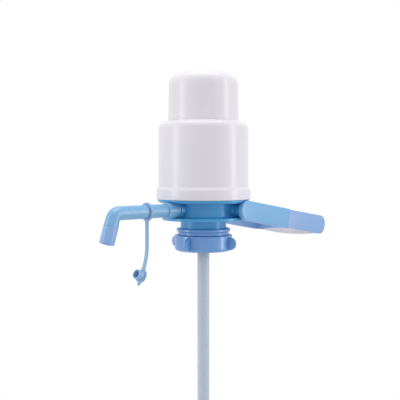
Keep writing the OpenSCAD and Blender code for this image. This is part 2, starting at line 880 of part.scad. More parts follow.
module plug_strap() {
    ring_r = ring_bore + ring_wall;
    straight_z = spout_z - ring_r - strap_straight;
    curve_r = strap_curve / strap_turn * 180 / PI;
    centre = [-ring_s - curve_r, 0, straight_z];
    end_x = centre[0] + curve_r * cos(strap_turn);
    end_z = centre[2] - curve_r * sin(strap_turn);
    plug_at = plug_flange_r - 0.6;
    flange_t = 1.6;
    color(cyan_blue) {
        difference() {
            union() {
                on_spout() ring(ring_r, ring_bore, ring_s - ring_w / 2, ring_s + ring_w / 2);
                translate([-ring_s - strap_t / 2, -strap_w / 2, straight_z])
                    cube([strap_t, strap_w, strap_straight + ring_wall / 2]);
                translate(centre) rotate([-90, 0, 0])
                    rotate_extrude(angle = strap_turn)
                        translate([curve_r - strap_t / 2, -strap_w / 2])
                            square([strap_t, strap_w]);
                translate([end_x, 0, end_z]) rotate([0, strap_turn - 90, 0])
                    translate([-plug_at, 0, -flange_t / 2]) {
                        cylinder(r = plug_flange_r, h = flange_t);
                        cylinder(r = plug_r, h = flange_t + plug_len);
                        translate([-plug_flange_r - 1, 0, 0]) cylinder(r = 2, h = flange_t);
                    }
            }
            translate([end_x, 0, end_z]) rotate([0, strap_turn - 90, 0])
                translate([-plug_at, 0, flange_t / 2 + 0.4])
                    cylinder(r = plug_r - plug_wall, h = plug_len + flange_t);
        }
    }
}

// ---- Handle -------------------------------------------------------------------

// Half the height of the arm at a distance from the pivot, before the bow's step
function arm_half(x) =
    x < sleeve_len
    ? arm_end_r + (sleeve_end_h / 2 - arm_end_r) * x / sleeve_len
    : sleeve_end_h / 2 - bow_step
      + (bow_end_h / 2 - sleeve_end_h / 2 + bow_step) * (x - sleeve_len) / (bow_reach - sleeve_len);

// The tongue of the bow and its pocket in the sleeve, drawn in X and Z
module tongue_profile(extra) {
    translate([sleeve_len - tongue_len - extra, -tongue_h / 2 - extra])
        square([tongue_len + 2 * extra + 1, tongue_h + 2 * extra]);
}

tongue_y = arm_in + (arm_t - tongue_t) / 2;

// The arm's sleeve on the -Y side
module sleeve() {
    on_handle()
        difference() {
            side_plate(arm_in, arm_t)
                polygon(concat(
                    arc([0, 0], arm_end_r, 90, 270, 16),
                    [[sleeve_len, -arm_half(sleeve_len - eps)],
                     [sleeve_len, arm_half(sleeve_len - eps)]]));
            side_plate(tongue_y - fit_gap, tongue_t + 2 * fit_gap) tongue_profile(fit_gap);
            side_plate(arm_in - eps, pin_out - arm_in + free_gap) circle(r = pin_r + run_gap);
            pivot_sector(stop_out + free_gap, stop_in - free_gap, arm_in - eps,
                         arm_in + stop_proud,
                         180 - stop_half - stop_slack - handle_swing + droop,
                         180 + stop_half + stop_slack + droop);
        }
}

module handle_sleeve_front() {
    color(cyan_blue) sleeve();
}

module handle_sleeve_rear() {
    color(cyan_blue) mirror([0, 1, 0]) sleeve();
}

// Side profile of the bow from its start to its rounded outer end
module bow_profile(x0) {
    half_0 = arm_half(bow_start);
    half_1 = bow_end_h / 2;
    intersection() {
        polygon(concat(
            [[bow_start, half_0], [bow_start, -half_0]],
            arc([bow_reach - bow_round, -half_1 + bow_round], bow_round, 270, 360),
            arc([bow_reach - bow_round, half_1 - bow_round], bow_round, 0, 90)));
        translate([x0 > bow_start ? x0 : x0 - 1, -bow_end_h])
            square([bow_reach, 2 * bow_end_h]);
    }
}

module bow_arm() {
    side_plate(arm_in + bow_step / 2, arm_t - bow_step) bow_profile(bow_start);
    side_plate(tongue_y, tongue_t) tongue_profile(0);
}

module handle_bow() {
    half_w = arm_in + arm_t - bow_step / 2;
    color(soft_blue)
        on_handle() {
            bow_arm();
            mirror([0, 1, 0]) bow_arm();
            difference() {
                side_plate(-half_w, 2 * half_w) bow_profile(bow_reach - bar_t);
                difference() {
                    grip_zone(fit_gap);
                    bar_box(core_t, core_h, 1);
                }
            }
        }
}

grip_end_wrap = 1;   // how far the grip wraps up the bar at its ends

// The room under the bar where the grip sits: its top follows the grip's upper edge
module grip_zone(extra) {
    half = grip_len / 2 + extra;
    steps = 10;
    edge = [for (i = [0:steps]) let (t = 2 * i / steps - 1)
        [t * half, -bow_end_h / 2 + extra + grip_end_wrap
                   + (grip_wrap - grip_end_wrap) * (1 - t * t)]];
    translate([grip_x - grip_depth, 0, 0])
        rotate([90, 0, 90])
            linear_extrude(2 * grip_depth)
                polygon(concat(edge, [[half, -grip_h], [-half, -grip_h]]));
}

// A box around the middle of the bar
module bar_box(t, h, extra) {
    half = grip_len / 2 + extra;
    translate([grip_x - t / 2, -half, -h / 2]) cube([t, 2 * half, h]);
}

// Points of a flat bulge of one side, from half h0 at the ends to half h1 in the middle
function bulge(h0, h1) =
    let (
        sag = (h1 - h0) / 2,
        half = grip_len / 2,
        arc_r = (half * half + sag * sag) / (2 * sag),
        sweep = asin(half / arc_r)
    ) arc([h1 / 2 - arc_r, 0], arc_r, -sweep, sweep, 12);

module handle_grip() {
    half = grip_len / 2;
    depth = bulge(bar_t, grip_depth);
    color(white)
        on_handle()
            difference() {
                intersection() {
                    translate([grip_x, 0, 0]) rotate([90, 0, 0])
                        rotate_extrude()
                            polygon(concat([[0, -half]], bulge(bow_end_h, grip_h), [[0, half]]));
                    translate([grip_x, 0, -grip_h])
                        linear_extrude(2 * grip_h)
                            polygon(concat(depth, [for (i = [len(depth) - 1:-1:0])
                                [-depth[i][0], depth[i][1]]]));
                    grip_zone(0);
                }
                bar_box(core_t + 2 * fit_gap, core_h + 2 * fit_gap, 1);
            }
}

module handle_pivots() {
    color(steel) {
        pivot_bore(pin_r, pin_in, pin_out);
        mirror([0, 1, 0]) pivot_bore(pin_r, pin_in, pin_out);
    }
}

press_cap();
pusher_plate();
pusher_screws();
intake_valve();
bellows();
return_spring();
bellows_clamp_upper();
bellows_clamp_lower();
guide_cup();
lock_band();
deck_plate();
deck_screws();
deck_gasket();
outlet_valve();
pump_body();
water_riser();
neck_clamp();
neck_gasket();
collar_nut();
dip_tube_upper();
tube_coupler();
dip_tube_lower();
tube_foot();
spout_pipe();
spout_ferrule();
spout_oring();
spout_nozzle();
plug_strap();
handle_sleeve_front();
handle_sleeve_rear();
handle_bow();
handle_grip();
handle_pivots();
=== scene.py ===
"""Finished look of a hand pump for a large water jug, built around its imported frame.

Every mesh is made in the row frame: metres, +Z up, the spout along -X, the handle along +X,
and the origin at the plane on which the rim of the jug seals. Sizes are written in
millimetres and turned into metres as the meshes are made.
"""

from __future__ import annotations

import logging
from collections.abc import Sequence
from dataclasses import dataclass
from enum import Enum
from math import asin, atan, atan2, ceil, copysign, cos, pi, radians, sin, sqrt, tan, tau

import bmesh
import bpy
from mathutils import Matrix, Vector

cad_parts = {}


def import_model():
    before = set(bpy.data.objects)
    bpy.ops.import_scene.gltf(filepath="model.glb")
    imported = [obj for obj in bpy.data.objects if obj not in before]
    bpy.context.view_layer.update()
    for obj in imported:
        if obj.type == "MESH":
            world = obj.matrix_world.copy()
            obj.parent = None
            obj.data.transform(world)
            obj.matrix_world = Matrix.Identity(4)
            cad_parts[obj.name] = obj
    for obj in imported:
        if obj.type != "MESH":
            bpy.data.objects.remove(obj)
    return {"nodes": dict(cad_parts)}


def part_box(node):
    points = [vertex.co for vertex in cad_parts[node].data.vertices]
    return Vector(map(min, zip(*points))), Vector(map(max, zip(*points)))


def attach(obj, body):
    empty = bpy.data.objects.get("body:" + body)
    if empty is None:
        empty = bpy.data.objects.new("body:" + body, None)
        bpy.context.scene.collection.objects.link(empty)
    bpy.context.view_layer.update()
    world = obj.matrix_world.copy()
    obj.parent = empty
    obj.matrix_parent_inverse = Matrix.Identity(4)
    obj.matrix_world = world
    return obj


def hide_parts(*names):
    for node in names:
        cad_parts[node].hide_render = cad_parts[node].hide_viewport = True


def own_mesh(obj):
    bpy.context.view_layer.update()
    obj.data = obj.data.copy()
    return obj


LOG = logging.getLogger("jug_pump")
MM = 0.001
Point = tuple[float, float]
Corner = tuple[float, float, float]
Piece = bpy.types.Object
NODES: dict[str, Piece] = {}


class Body(Enum):
    """The moving bodies of the frame."""

    BASE = "base"
    PRESS = "press"
    INTAKE = "intake"
    OUTLET = "outlet"
    NUT = "nut"
    SPOUT = "spout"
    PLUG = "plug"
    HANDLE = "handle"


class Slot(Enum):
    """The record's material slots."""

    WHITE = "white_plastic"
    LIGHT_BLUE = "light_blue_plastic"
    VIOLET_BLUE = "violet_blue_plastic"
    TUBE = "milky_tube"
    SILICONE = "silicone"
    STEEL = "steel"


# ---- Shapes ---------------------------------------------------------------------------


def round_corners(corners: Sequence[Corner], closed: bool = True) -> list[Point]:
    """Turns a polygon with a radius at each corner into a smooth outline.

    Args:
        corners: (u, v, radius) of each corner, in millimetres.
        closed: True if the last corner joins the first.

    Returns:
        The outline's points, with an arc in place of each corner that has a radius.
    """
    out: list[Point] = []
    count = len(corners)
    for i, (u, v, radius) in enumerate(corners):
        at_end = not closed and i in (0, count - 1)
        if radius <= 0 or at_end:
            out.append((u, v))
            continue
        here = Vector((u, v))
        back = (Vector(corners[i - 1][:2]) - here).normalized()
        ahead = (Vector(corners[(i + 1) % count][:2]) - here).normalized()
        half = back.angle(ahead) / 2
        centre = here + (back + ahead).normalized() * (radius / sin(half))
        first = here + back * (radius / tan(half)) - centre
        last = here + ahead * (radius / tan(half)) - centre
        turn = atan2(first.cross(last), first.dot(last))
        steps = max(3, ceil(abs(turn) / radians(6 if radius > 2 else 18)))
        for k in range(steps + 1):
            ray = first.copy()
            ray.rotate(Matrix.Rotation(turn * k / steps, 2))
            out.append(tuple(centre + ray))
    return out


def new_object(name: str, mesh: bpy.types.Mesh) -> Piece:
    """Puts a mesh into the scene under a name and returns its object."""
    mesh.name = name
    obj = bpy.data.objects.new(name, mesh)
    bpy.context.collection.objects.link(obj)
    return obj


def shade(obj: Piece, angle: float = 28.0) -> Piece:
    """Shades a mesh smooth, with a hard edge wherever it turns by more than an angle."""
    obj.data.shade_smooth()
    obj.data.set_sharp_from_angle(angle=radians(angle))
    return obj


def bridge(rings: Sequence[Sequence[Vector]], name: str, closed: bool) -> Piece:
    """Joins rings of points into one skin.

    Args:
        rings: rings of equal length, in metres, or of one point at a pole.
        name: the piece's name.
        closed: True if the last ring joins the first.

    Returns:
        The new object, with its faces turned outwards.
    """
    bm = bmesh.new()
    made = [[bm.verts.new(p) for p in ring] for ring in rings]
    pairs = list(zip(made, made[1:]))
    if closed:
        pairs.append((made[-1], made[0]))
    for a, b in pairs:
        count = max(len(a), len(b))
        for i in range(count):
            j = (i + 1) % count
            corner = [a[i % len(a)], a[j % len(a)], b[j % len(b)], b[i % len(b)]]
            face = list(dict.fromkeys(corner))
            if len(face) > 2:
                bm.faces.new(face)
    if not closed:
        for ring in (made[0], made[-1]):
            if len(ring) > 2:
                bm.faces.new(ring)
    bmesh.ops.recalc_face_normals(bm, faces=bm.faces)
    mesh = bpy.data.meshes.new(name)
    bm.to_mesh(mesh)
    bm.free()
    return shade(new_object(name, mesh), 32)


def lathe(
    name: str,
    corners: Sequence[Corner],
    place: Matrix | None = None,
    closed: bool = True,
    steps: int = 144,
) -> Piece:
    """Turns an outline round the local Z axis.

    Args:
        name: the piece's name.
        corners: (radius, height, rounding) of each corner of the section, in millimetres.
        place: where the local frame lies in the row frame, in metres.
        closed: True for a ring, False for an outline that runs from axis to axis.
        steps: number of steps round the axis.

    Returns:
        The new object.
    """
    place = place or Matrix.Identity(4)
    rings = []
    for radius, height in round_corners(corners, closed):
        count = 1 if radius < 1e-6 else steps
        rings.append([
            place @ (Vector((
                radius * cos(tau * i / steps),
                radius * sin(tau * i / steps),
                height,
            )) * MM)
            for i in range(count)
        ])
    return bridge(rings, name, closed)


def prism(
    name: str,
    outline: Sequence[Point],
    low: float,
    high: float,
    place: Matrix,
) -> Piece:
    """Makes a plate from an outline in local X and Y, between two local heights.

    Args:
        name: the piece's name.
        outline: (x, y) of each point, in millimetres.
        low: the plate's lower face, in millimetres.
        high: the plate's upper face, in millimetres.
        place: where the local frame lies in the row frame, in metres.

    Returns:
        The new object.
    """
    rings = [[place @ (Vector((x, y, z)) * MM) for x, y in outline] for z in (low, high)]
    return bridge(rings, name, closed=False)


def sweep(
    name: str,
    stations: Sequence[tuple[Matrix, Sequence[Point]]],
    closed: bool = False,
) -> Piece:
    """Joins sections that stand along a path.

    Args:
        name: the piece's name.
        stations: each section's frame, in metres, and its points, in millimetres.
        closed: True if the last section joins the first.

    Returns:
        The new object.
    """
    rings = [[frame @ (Vector((x, y, 0)) * MM) for x, y in section] for frame, section in stations]
    return bridge(rings, name, closed)


def settle(obj: Piece) -> Piece:
    """Makes an object's modifiers part of its mesh."""
    graph = bpy.context.evaluated_depsgraph_get()
    mesh = bpy.data.meshes.new_from_object(obj.evaluated_get(graph))
    obj.modifiers.clear()
    obj.data = mesh
    mesh.name = obj.name
    return obj


def combine(
    obj: Piece,
    others: Sequence[Piece],
    how: str = "UNION",
) -> Piece:
    """Adds or cuts solids, and removes them from the scene.

    Args:
        obj: the solid that is kept.
        others: the solids that are added to it or cut from it.
        how: "UNION" or "DIFFERENCE".

    Returns:
        The kept object.
    """
    for other in others:
        step = obj.modifiers.new("combine", "BOOLEAN")
        step.operation = how
        step.solver = "EXACT"
        step.object = other
        settle(obj)
        bpy.data.objects.remove(other)
    return obj


def add_bevel(obj: Piece, width: float, segments: int) -> None:
    """Adds a rounding of an object's sharp edges, by a width in millimetres."""
    step = obj.modifiers.new("soften", "BEVEL")
    step.width = width * MM
    step.segments = segments
    step.limit_method = "ANGLE"
    step.angle_limit = radians(40)


def soften(obj: Piece, width: float, segments: int) -> Piece:
    """Rounds an object's sharp edges for good, by a width in millimetres."""
    add_bevel(obj, width, segments)
    return shade(settle(obj), 32)


def circle(radius: float, steps: int = 48) -> list[Point]:
    """Points of a circle of a radius in millimetres."""
    return [
        (radius * cos(tau * i / steps), radius * sin(tau * i / steps))
        for i in range(steps)
    ]


def rectangle(left: float, bottom: float, right: float, top: float) -> list[Point]:
    """The four corners of a rectangle, in millimetres."""
    return [(left, bottom), (right, bottom), (right, top), (left, top)]


def frame_at(origin: Vector, along: Vector, side: Vector) -> Matrix:
    """A frame whose +Z runs along one direction and whose +X lies on the side given.

    Args:
        origin: the frame's origin, in metres.
        along: the direction of the local Z axis.
        side: a direction near the local X axis.

    Returns:
        The frame as a 4x4 matrix.
    """
    z = along.normalized()
    y = z.cross(side).normalized()
    x = y.cross(z)
    turn = Matrix((x, y, z)).transposed().to_4x4()
    return Matrix.Translation(origin) @ turn


def spout_frame(height: float, distance: float = 0.0) -> Matrix:
    """The frame that looks out along the spout, at a height and a distance from the axis."""
    return frame_at(Vector((-distance, 0, height)) * MM, Vector((-1, 0, 0)), Vector((0, 0, 1)))


def pivot_frame(x: float, z: float, side: int) -> Matrix:
    """The frame on the handle's pivot that looks outwards on the side given by 1 or -1."""
    return frame_at(Vector((x, 0, z)) * MM, Vector((0, side, 0)), Vector((0, 0, 1)))


# ---- Finishes -------------------------------------------------------------------------


def linear(colour: Sequence[float]) -> tuple[float, float, float, float]:
    """Turns a colour of 0 to 255 as a screen shows it into Blender's linear values."""
    parts = [c / 255 for c in colour]
    parts = [c / 12.92 if c <= 0.04045 else ((c + 0.055) / 1.055) ** 2.4 for c in parts]
    return (*parts, 1.0)


def add_node(tree: bpy.types.NodeTree, kind: str, values: dict, links: dict) -> bpy.types.Node:
    """Adds a shader node.

    Args:
        tree: the tree that it joins.
        kind: its type, without the words in front.
        values: what its inputs are set to, by name or index.
        links: what its inputs are linked to, by name or index.

    Returns:
        The new node.
    """
    made = tree.nodes.new("ShaderNode" + kind)
    for key, value in values.items():
        made.inputs[key].default_value = value
    for key, source in links.items():
        tree.links.new(source, made.inputs[key])
    return made


def shift(colour: Sequence[int], amount: int) -> tuple[int, ...]:
    """Makes a screen colour lighter or darker by an amount."""
    return tuple(min(255, c + amount) for c in colour)


class Surface:
    """A material whose nodes vary a Principled shader over the object's own space."""

    def __init__(self, name: str) -> None:
        """Makes the material with its shader and its object coordinates."""
        self.material = bpy.data.materials.new(name)
        self.material.use_nodes = True
        self.tree = self.material.node_tree
        self.shader = self.tree.nodes["Principled BSDF"]
        self.space = self.tree.nodes.new("ShaderNodeTexCoord").outputs["Object"]

    def fix(self, **values: float) -> None:
        """Sets sockets of the shader that are the same all over, by name with _ for a space."""
        for key, value in values.items():
            self.shader.inputs[key.replace("_", " ")].default_value = value

    def noise(self, scale: float, detail: float = 2.0, stretch: Sequence[float] = (1, 1, 1)):
        """Adds noise at a scale per metre, stretched along the axes, and returns its value."""
        place = add_node(self.tree, "Mapping", {"Scale": stretch}, {"Vector": self.space})
        made = add_node(self.tree, "TexNoise", {"Scale": scale, "Detail": detail},
                        {"Vector": place.outputs["Vector"]})
        return made.outputs["Fac"]

    def spread(self, value, low: float, high: float, start: float = 0.3, end: float = 0.7):
        """Maps a value that lies between start and end onto low and high."""
        ends = {"From Min": start, "From Max": end, "To Min": low, "To Max": high}
        return add_node(self.tree, "MapRange", ends, {"Value": value}).outputs["Result"]

    def tint(self, value, low: Sequence[float], high: Sequence[float]):
        """Mixes two screen colours by a value from 0 to 1 and returns the colour."""
        made = self.tree.nodes.new("ShaderNodeMix")
        made.data_type = "RGBA"
        made.inputs["A"].default_value = linear(low)
        made.inputs["B"].default_value = linear(high)
        self.tree.links.new(value, made.inputs["Factor"])
        return made.outputs["Result"]

    def relief(self, heights: Sequence[tuple[object, float]]) -> None:
        """Bumps the surface by several heights, each with its depth in metres."""
        normal = None
        for value, depth in heights:
            links = {"Height": value} if normal is None else {"Height": value, "Normal": normal}
            made = add_node(self.tree, "Bump", {"Strength": 1.0, "Distance": depth}, links)
            normal = made.outputs["Normal"]
        self.tree.links.new(normal, self.shader.inputs["Normal"])

    def drive(self, socket: str, value) -> None:
        """Lets a value vary one of the shader's sockets."""
        self.tree.links.new(value, self.shader.inputs[socket])


@dataclass(frozen=True)
class MouldedPlastic:
    """Injection moulded plastic: even colour with a slight cloud, flow marks and fine peel."""

    name: str
    colour: tuple[int, int, int]
    cloud: int
    roughness: float
    gloss: float = 0.5
    gloss_spread: float = 0.04
    peel_depth: float = 0.00001

    def make(self) -> bpy.types.Material:
        """Builds the material."""
        surface = Surface(self.name)
        cloud = surface.spread(surface.noise(9, 3), 0, 1)
        low, high = shift(self.colour, -self.cloud), shift(self.colour, self.cloud)
        surface.drive("Base Color", surface.tint(cloud, low, high))
        flow = surface.noise(45, 4, stretch=(1, 1, 0.25))
        surface.drive("Roughness", surface.spread(
            flow, self.roughness - self.gloss_spread, self.roughness + self.gloss_spread))
        surface.relief([(surface.noise(950, 2), self.peel_depth), (flow, self.peel_depth)])
        surface.fix(IOR=1.49, Specular_IOR_Level=self.gloss)
        return surface.material


@dataclass(frozen=True)
class MilkyTubing:
    """Soft translucent tube: milky walls that let some light through."""

    name: str
    colour: tuple[int, int, int]
    roughness: float = 0.32
    see_through: float = 0.12

    def make(self) -> bpy.types.Material:
        """Builds the material."""
        surface = Surface(self.name)
        draw = surface.noise(30, 3, stretch=(1, 1, 0.06))
        low, high = shift(self.colour, -8), shift(self.colour, 8)
        surface.drive("Base Color", surface.tint(surface.spread(draw, 0, 1), low, high))
        surface.drive("Roughness", surface.spread(
            surface.noise(160, 3), self.roughness - 0.06, self.roughness + 0.06))
        surface.relief([(draw, 0.00002), (surface.noise(800, 2), 0.00001)])
        surface.fix(IOR=1.42, Transmission_Weight=self.see_through)
        return surface.material


@dataclass(frozen=True)
class SiliconeRubber:
    """Soft moulded rubber with a dusty, matt skin."""

    name: str
    colour: tuple[int, int, int]
    roughness: float = 0.55

    def make(self) -> bpy.types.Material:
        """Builds the material."""
        surface = Surface(self.name)
        dust = surface.spread(surface.noise(70, 5), 0, 1, 0.35, 0.75)
        surface.drive("Base Color", surface.tint(dust, shift(self.colour, -14), self.colour))
        surface.drive("Roughness", surface.spread(
            dust, self.roughness - 0.08, self.roughness + 0.1, 0, 1))
        surface.relief([(surface.noise(1300, 2), 0.00002)])
        surface.fix(IOR=1.41)
        return surface.material


@dataclass(frozen=True)
class DrawnSteel:
    """Bright stainless steel with fine drawing marks."""

    name: str
    colour: tuple[int, int, int] = (196, 197, 200)
    roughness: float = 0.28

    def make(self) -> bpy.types.Material:
        """Builds the material."""
        surface = Surface(self.name)
        marks = surface.noise(220, 4, stretch=(1, 1, 9))
        surface.drive("Base Color", surface.tint(
            surface.spread(marks, 0, 1), shift(self.colour, -16), self.colour))
        surface.drive("Roughness", surface.spread(
            marks, self.roughness - 0.08, self.roughness + 0.1))
        surface.relief([(marks, 0.00001)])
        surface.fix(Metallic=1.0)
        return surface.material


class Finishes:
    """The object's finishes, each made once."""

    def __init__(self) -> None:
        """Makes every finish."""
        moulded = MouldedPlastic
        self.white = moulded("white_moulding", (228, 225, 232), 2, 0.3).make()
        self.grip_white = moulded("grip_moulding", (226, 225, 232), 2, 0.38).make()
        # The pump body's light blue, made darker and more saturated than the same plastic on the
        # sleeves and the pipe: painted shade for the waist under the lip and the neck under the
        # dish.
        self.body_blue_painted_shade = moulded("body_moulding_painted_shade", (62, 156, 211), 4, 0.32, 0.6).make()
        self.pipe_blue = moulded("pipe_moulding", (112, 170, 214), 4, 0.38, 1.0).make()
        self.light_blue = moulded("sleeve_moulding", (116, 174, 221), 4, 0.3).make()
        self.strap_blue = moulded("strap_moulding", (142, 180, 218), 4, 0.4).make()
        # The clamp's and nut's violet blue, made darker and more saturated than the same plastic
        # on the nozzle and the bow: painted shade for the clamp and nut under the dish.
        self.violet_blue_painted_shade = moulded("violet_blue_moulding_painted_shade", (92, 148, 209), 4, 0.29, 0.9).make()
        self.nozzle_blue = moulded("nozzle_moulding", (134, 172, 222), 4, 0.34, 0.6).make()
        self.bow_blue = moulded("bow_moulding", (132, 168, 218), 4, 0.32).make()
        self.tube = MilkyTubing("milky_tubing", (196, 207, 224)).make()
        self.rubber = SiliconeRubber("clear_silicone", (214, 217, 221)).make()
        self.steel = DrawnSteel("drawn_steel").make()


def dress(
    obj: Piece,
    finish: bpy.types.Material,
    body: Body,
    slot: Slot,
    *nodes: str,
) -> Piece:
    """Gives a piece its finish and its place in the frame.

    Args:
        obj: the piece.
        finish: its material.
        body: the body that it rides on.
        slot: the record's slot of its finish; not used.
        nodes: the nodes that it stands for.

    Returns:
        The piece.
    """
    obj.data.materials.clear()
    obj.data.materials.append(finish)
    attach(obj, body.value)
    if nodes:
        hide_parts(*nodes)
    LOG.info("%s: %d faces on %s", obj.name, len(obj.data.polygons), body.value)
    return obj


def dress_node(node: str, finish: bpy.types.Material, edge: float = 0.0) -> None:
    """Gives a node of the frame a finish, and softens its edges by a width in millimetres."""
    obj = NODES[node]
    obj.data.materials.clear()
    obj.data.materials.append(finish)
    if edge > 0:
        add_bevel(obj, edge, 2)
    LOG.info("%s: node of the frame", node)


# ---- Sub-assemblies -------------------------------------------------------------------


@dataclass
class PressHead:
    """The white cups: the press cap, the guide cup that it slides in, and the lock band."""

    finishes: Finishes
    body_top: float = 38.0
    cup_top: float = 130.6
    press_top: float = 191.2
    press_r: float = 42.2
    press_taper: float = 0.8
    press_corner: float = 15.0
    dome_r: float = 150.0
    wall: float = 2.4
    runner_r: float = 50.5
    runner_low: float = 105.7
    runner_high: float = 117.7
    cup_bore: float = 51.0
    cup_r: float = 54.1
    cup_taper: float = 0.6
    cup_corner: float = 9.0
    opening_r: float = 42.7
    guide_low: float = 118.0
    band_r: float = 56.5
    band_top: float = 53.0

    def crown(self, inset: float) -> list[Corner]:
        """Section of the press cap's crown from the axis down to its wall.

        Args:
            inset: distance inwards from the outside, in millimetres.

        Returns:
            (radius, height, 0) of each point.
        """
        dome_steps, corner_steps = 12, 24
        corner_r = self.press_corner
        centre_r = self.press_r - self.press_taper - corner_r
        dome_z = self.press_top - self.dome_r
        centre_z = dome_z + sqrt((self.dome_r - corner_r) ** 2 - centre_r**2)
        meet = atan2(centre_z - dome_z, centre_r)
        ray = self.dome_r - inset
        points = [(0.0, dome_z + ray, 0.0)]
        for i in range(1, dome_steps + 1):
            angle = pi / 2 + (meet - pi / 2) * i / dome_steps
            points.append((ray * cos(angle), dome_z + ray * sin(angle), 0.0))
        ray = corner_r - inset
        for i in range(1, corner_steps + 1):
            angle = meet * (1 - i / corner_steps)
            points.append(
                (centre_r + ray * cos(angle), centre_z + ray * sin(angle), 0.0))
        return points

    def build_press_cap(self) -> Piece:
        """Makes the cap: crown, wall, and the runner ring at its foot."""
        inner = self.press_r - self.wall
        foot = [
            (self.press_r, self.cup_top, 0),
            (self.press_r, self.runner_high, 0.8),
            (self.runner_r, self.runner_high, 0.6),
            (self.runner_r, self.runner_low, 0.5),
            (self.runner_r - 2.2, self.runner_low, 0.5),
            (self.runner_r - 2.2, self.runner_high - 2.5, 0.8),
            (inner, self.runner_high - 2.5, 0.8),
            (inner, self.cup_top, 0),
        ]
        corners = self.crown(0) + foot + self.crown(self.wall)[::-1]
        return lathe("press_cap_shell", corners, closed=False, steps=192)

    def build_guide_cup(self) -> Piece:
        """Makes the guide cup with its shoulder and its inner guide sleeve."""
        top_r = self.cup_r - self.cup_taper
        return lathe("guide_cup_shell", [
            (self.cup_bore, self.body_top, 0.3),
            (self.cup_r, self.body_top, 0.3),
            (self.cup_r, self.band_top, 0),
            (top_r, self.cup_top - 0.8, self.cup_corner),
            (self.opening_r + 1.5, self.cup_top + 0.1, 1.2),
            (self.opening_r, self.cup_top - 1.2, 0.4),
            (self.opening_r, self.guide_low, 0.5),
            (self.opening_r + 2.2, self.guide_low, 0.5),
            (self.opening_r + 2.2, self.cup_top - 2.8, 1.0),
            (self.cup_bore, self.cup_top - 2.8, self.cup_corner - 1.5),
        ], steps=192)

    def build_band(self) -> Piece:
        """Makes the band that locks the cup to the body, with its top bevel."""
        bore = self.cup_r + 0.1
        return lathe("lock_band_ring", [
            (bore, self.body_top, 0.1),
            (self.band_r, self.body_top, 0.7),
            (self.band_r, self.band_top - 3.4, 1.6),
            (bore + 0.35, self.band_top, 0.3),
            (bore, self.band_top, 0.05),
        ], steps=192)

    def build(self) -> None:
        """Makes and dresses the white shells, and finishes the parts inside them."""
        white = self.finishes.white
        dress(self.build_press_cap(), white, Body.PRESS, Slot.WHITE, "press_cap")
        dress(self.build_guide_cup(), white, Body.BASE, Slot.WHITE, "guide_cup")
        dress(self.build_band(), white, Body.BASE, Slot.WHITE, "lock_band")
        dress_node("pusher_plate", white, edge=0.25)
        dress_node("pusher_screws", self.finishes.steel)
        dress_node("intake_valve", self.finishes.rubber)


@dataclass
class AirChamber:
    """Bellows and return spring, and the deck that carries them."""

    finishes: Finishes
    deck_top: float = 40.1
    pusher_low: float = 175.9
    stroke: float = 46.0
    cuff_r: float = 36.2
    cuff_h: float = 10.2
    wall: float = 1.2
    pleat_depth: float = 5.0
    pleats: int = 9
    spring_r: float = 24.0
    wire_r: float = 1.2
    spring_turns: int = 9

    def build_bellows(self) -> Piece:
        """Makes the bellows: two cuffs, and pleats that are round at their folds."""
        low, high = self.deck_top + self.cuff_h, self.pusher_low - self.cuff_h
        half = (high - low) / (2 * self.pleats)
        folds = [(i % 2, low + i * half) for i in range(2 * self.pleats + 1)]
        outer_r, inner_r = self.cuff_r + self.wall / 2, self.cuff_r - self.wall / 2
        outside = [(outer_r - self.pleat_depth * deep, z, 1.2) for deep, z in folds]
        inside = [(inner_r - self.pleat_depth * deep, z, 0.8) for deep, z in folds]
        return lathe("bellows_skin", [
            (outer_r, self.deck_top, 0.3), *outside, (outer_r, self.pusher_low, 0.3),
            (inner_r, self.pusher_low, 0.3), *inside[::-1], (inner_r, self.deck_top, 0.3),
        ], steps=96)

    def build_spring(self) -> Piece:
        """Makes the return spring as one wire with closed end turns."""
        low, high = self.deck_top + self.wire_r, self.pusher_low - self.wire_r
        per_turn, end_closing = 40, 0.6
        count = self.spring_turns * per_turn
        stations = []
        for i in range(count + 1):
            share = i / count
            angle = tau * i / per_turn
            rise = share - sin(tau * share) / tau * end_closing
            origin = Vector((
                self.spring_r * cos(angle), self.spring_r * sin(angle),
                low + (high - low) * rise,
            )) * MM
            outward = Vector((cos(angle), sin(angle), 0))
            along = Vector((-sin(angle), cos(angle), 0.08))
            stations.append((frame_at(origin, along, outward), circle(self.wire_r, 12)))
        return sweep("return_spring_wire", stations)

    def build(self) -> None:
        """Makes the pieces that shorten with the stroke, and finishes the rest."""
        steel, rubber, white = self.finishes.steel, self.finishes.rubber, self.finishes.white
        for piece, finish, slot, node in (
            (self.build_bellows(), rubber, Slot.SILICONE, "bellows"),
            (self.build_spring(), steel, Slot.STEEL, "return_spring"),
        ):
            dress(piece, finish, Body.BASE, slot, node)
            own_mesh(piece)
        for node in ("bellows_clamp_upper", "bellows_clamp_lower", "deck_screws"):
            dress_node(node, steel)
        dress_node("deck_plate", white, edge=0.25)
        for node in ("deck_gasket", "outlet_valve"):
            dress_node(node, rubber)


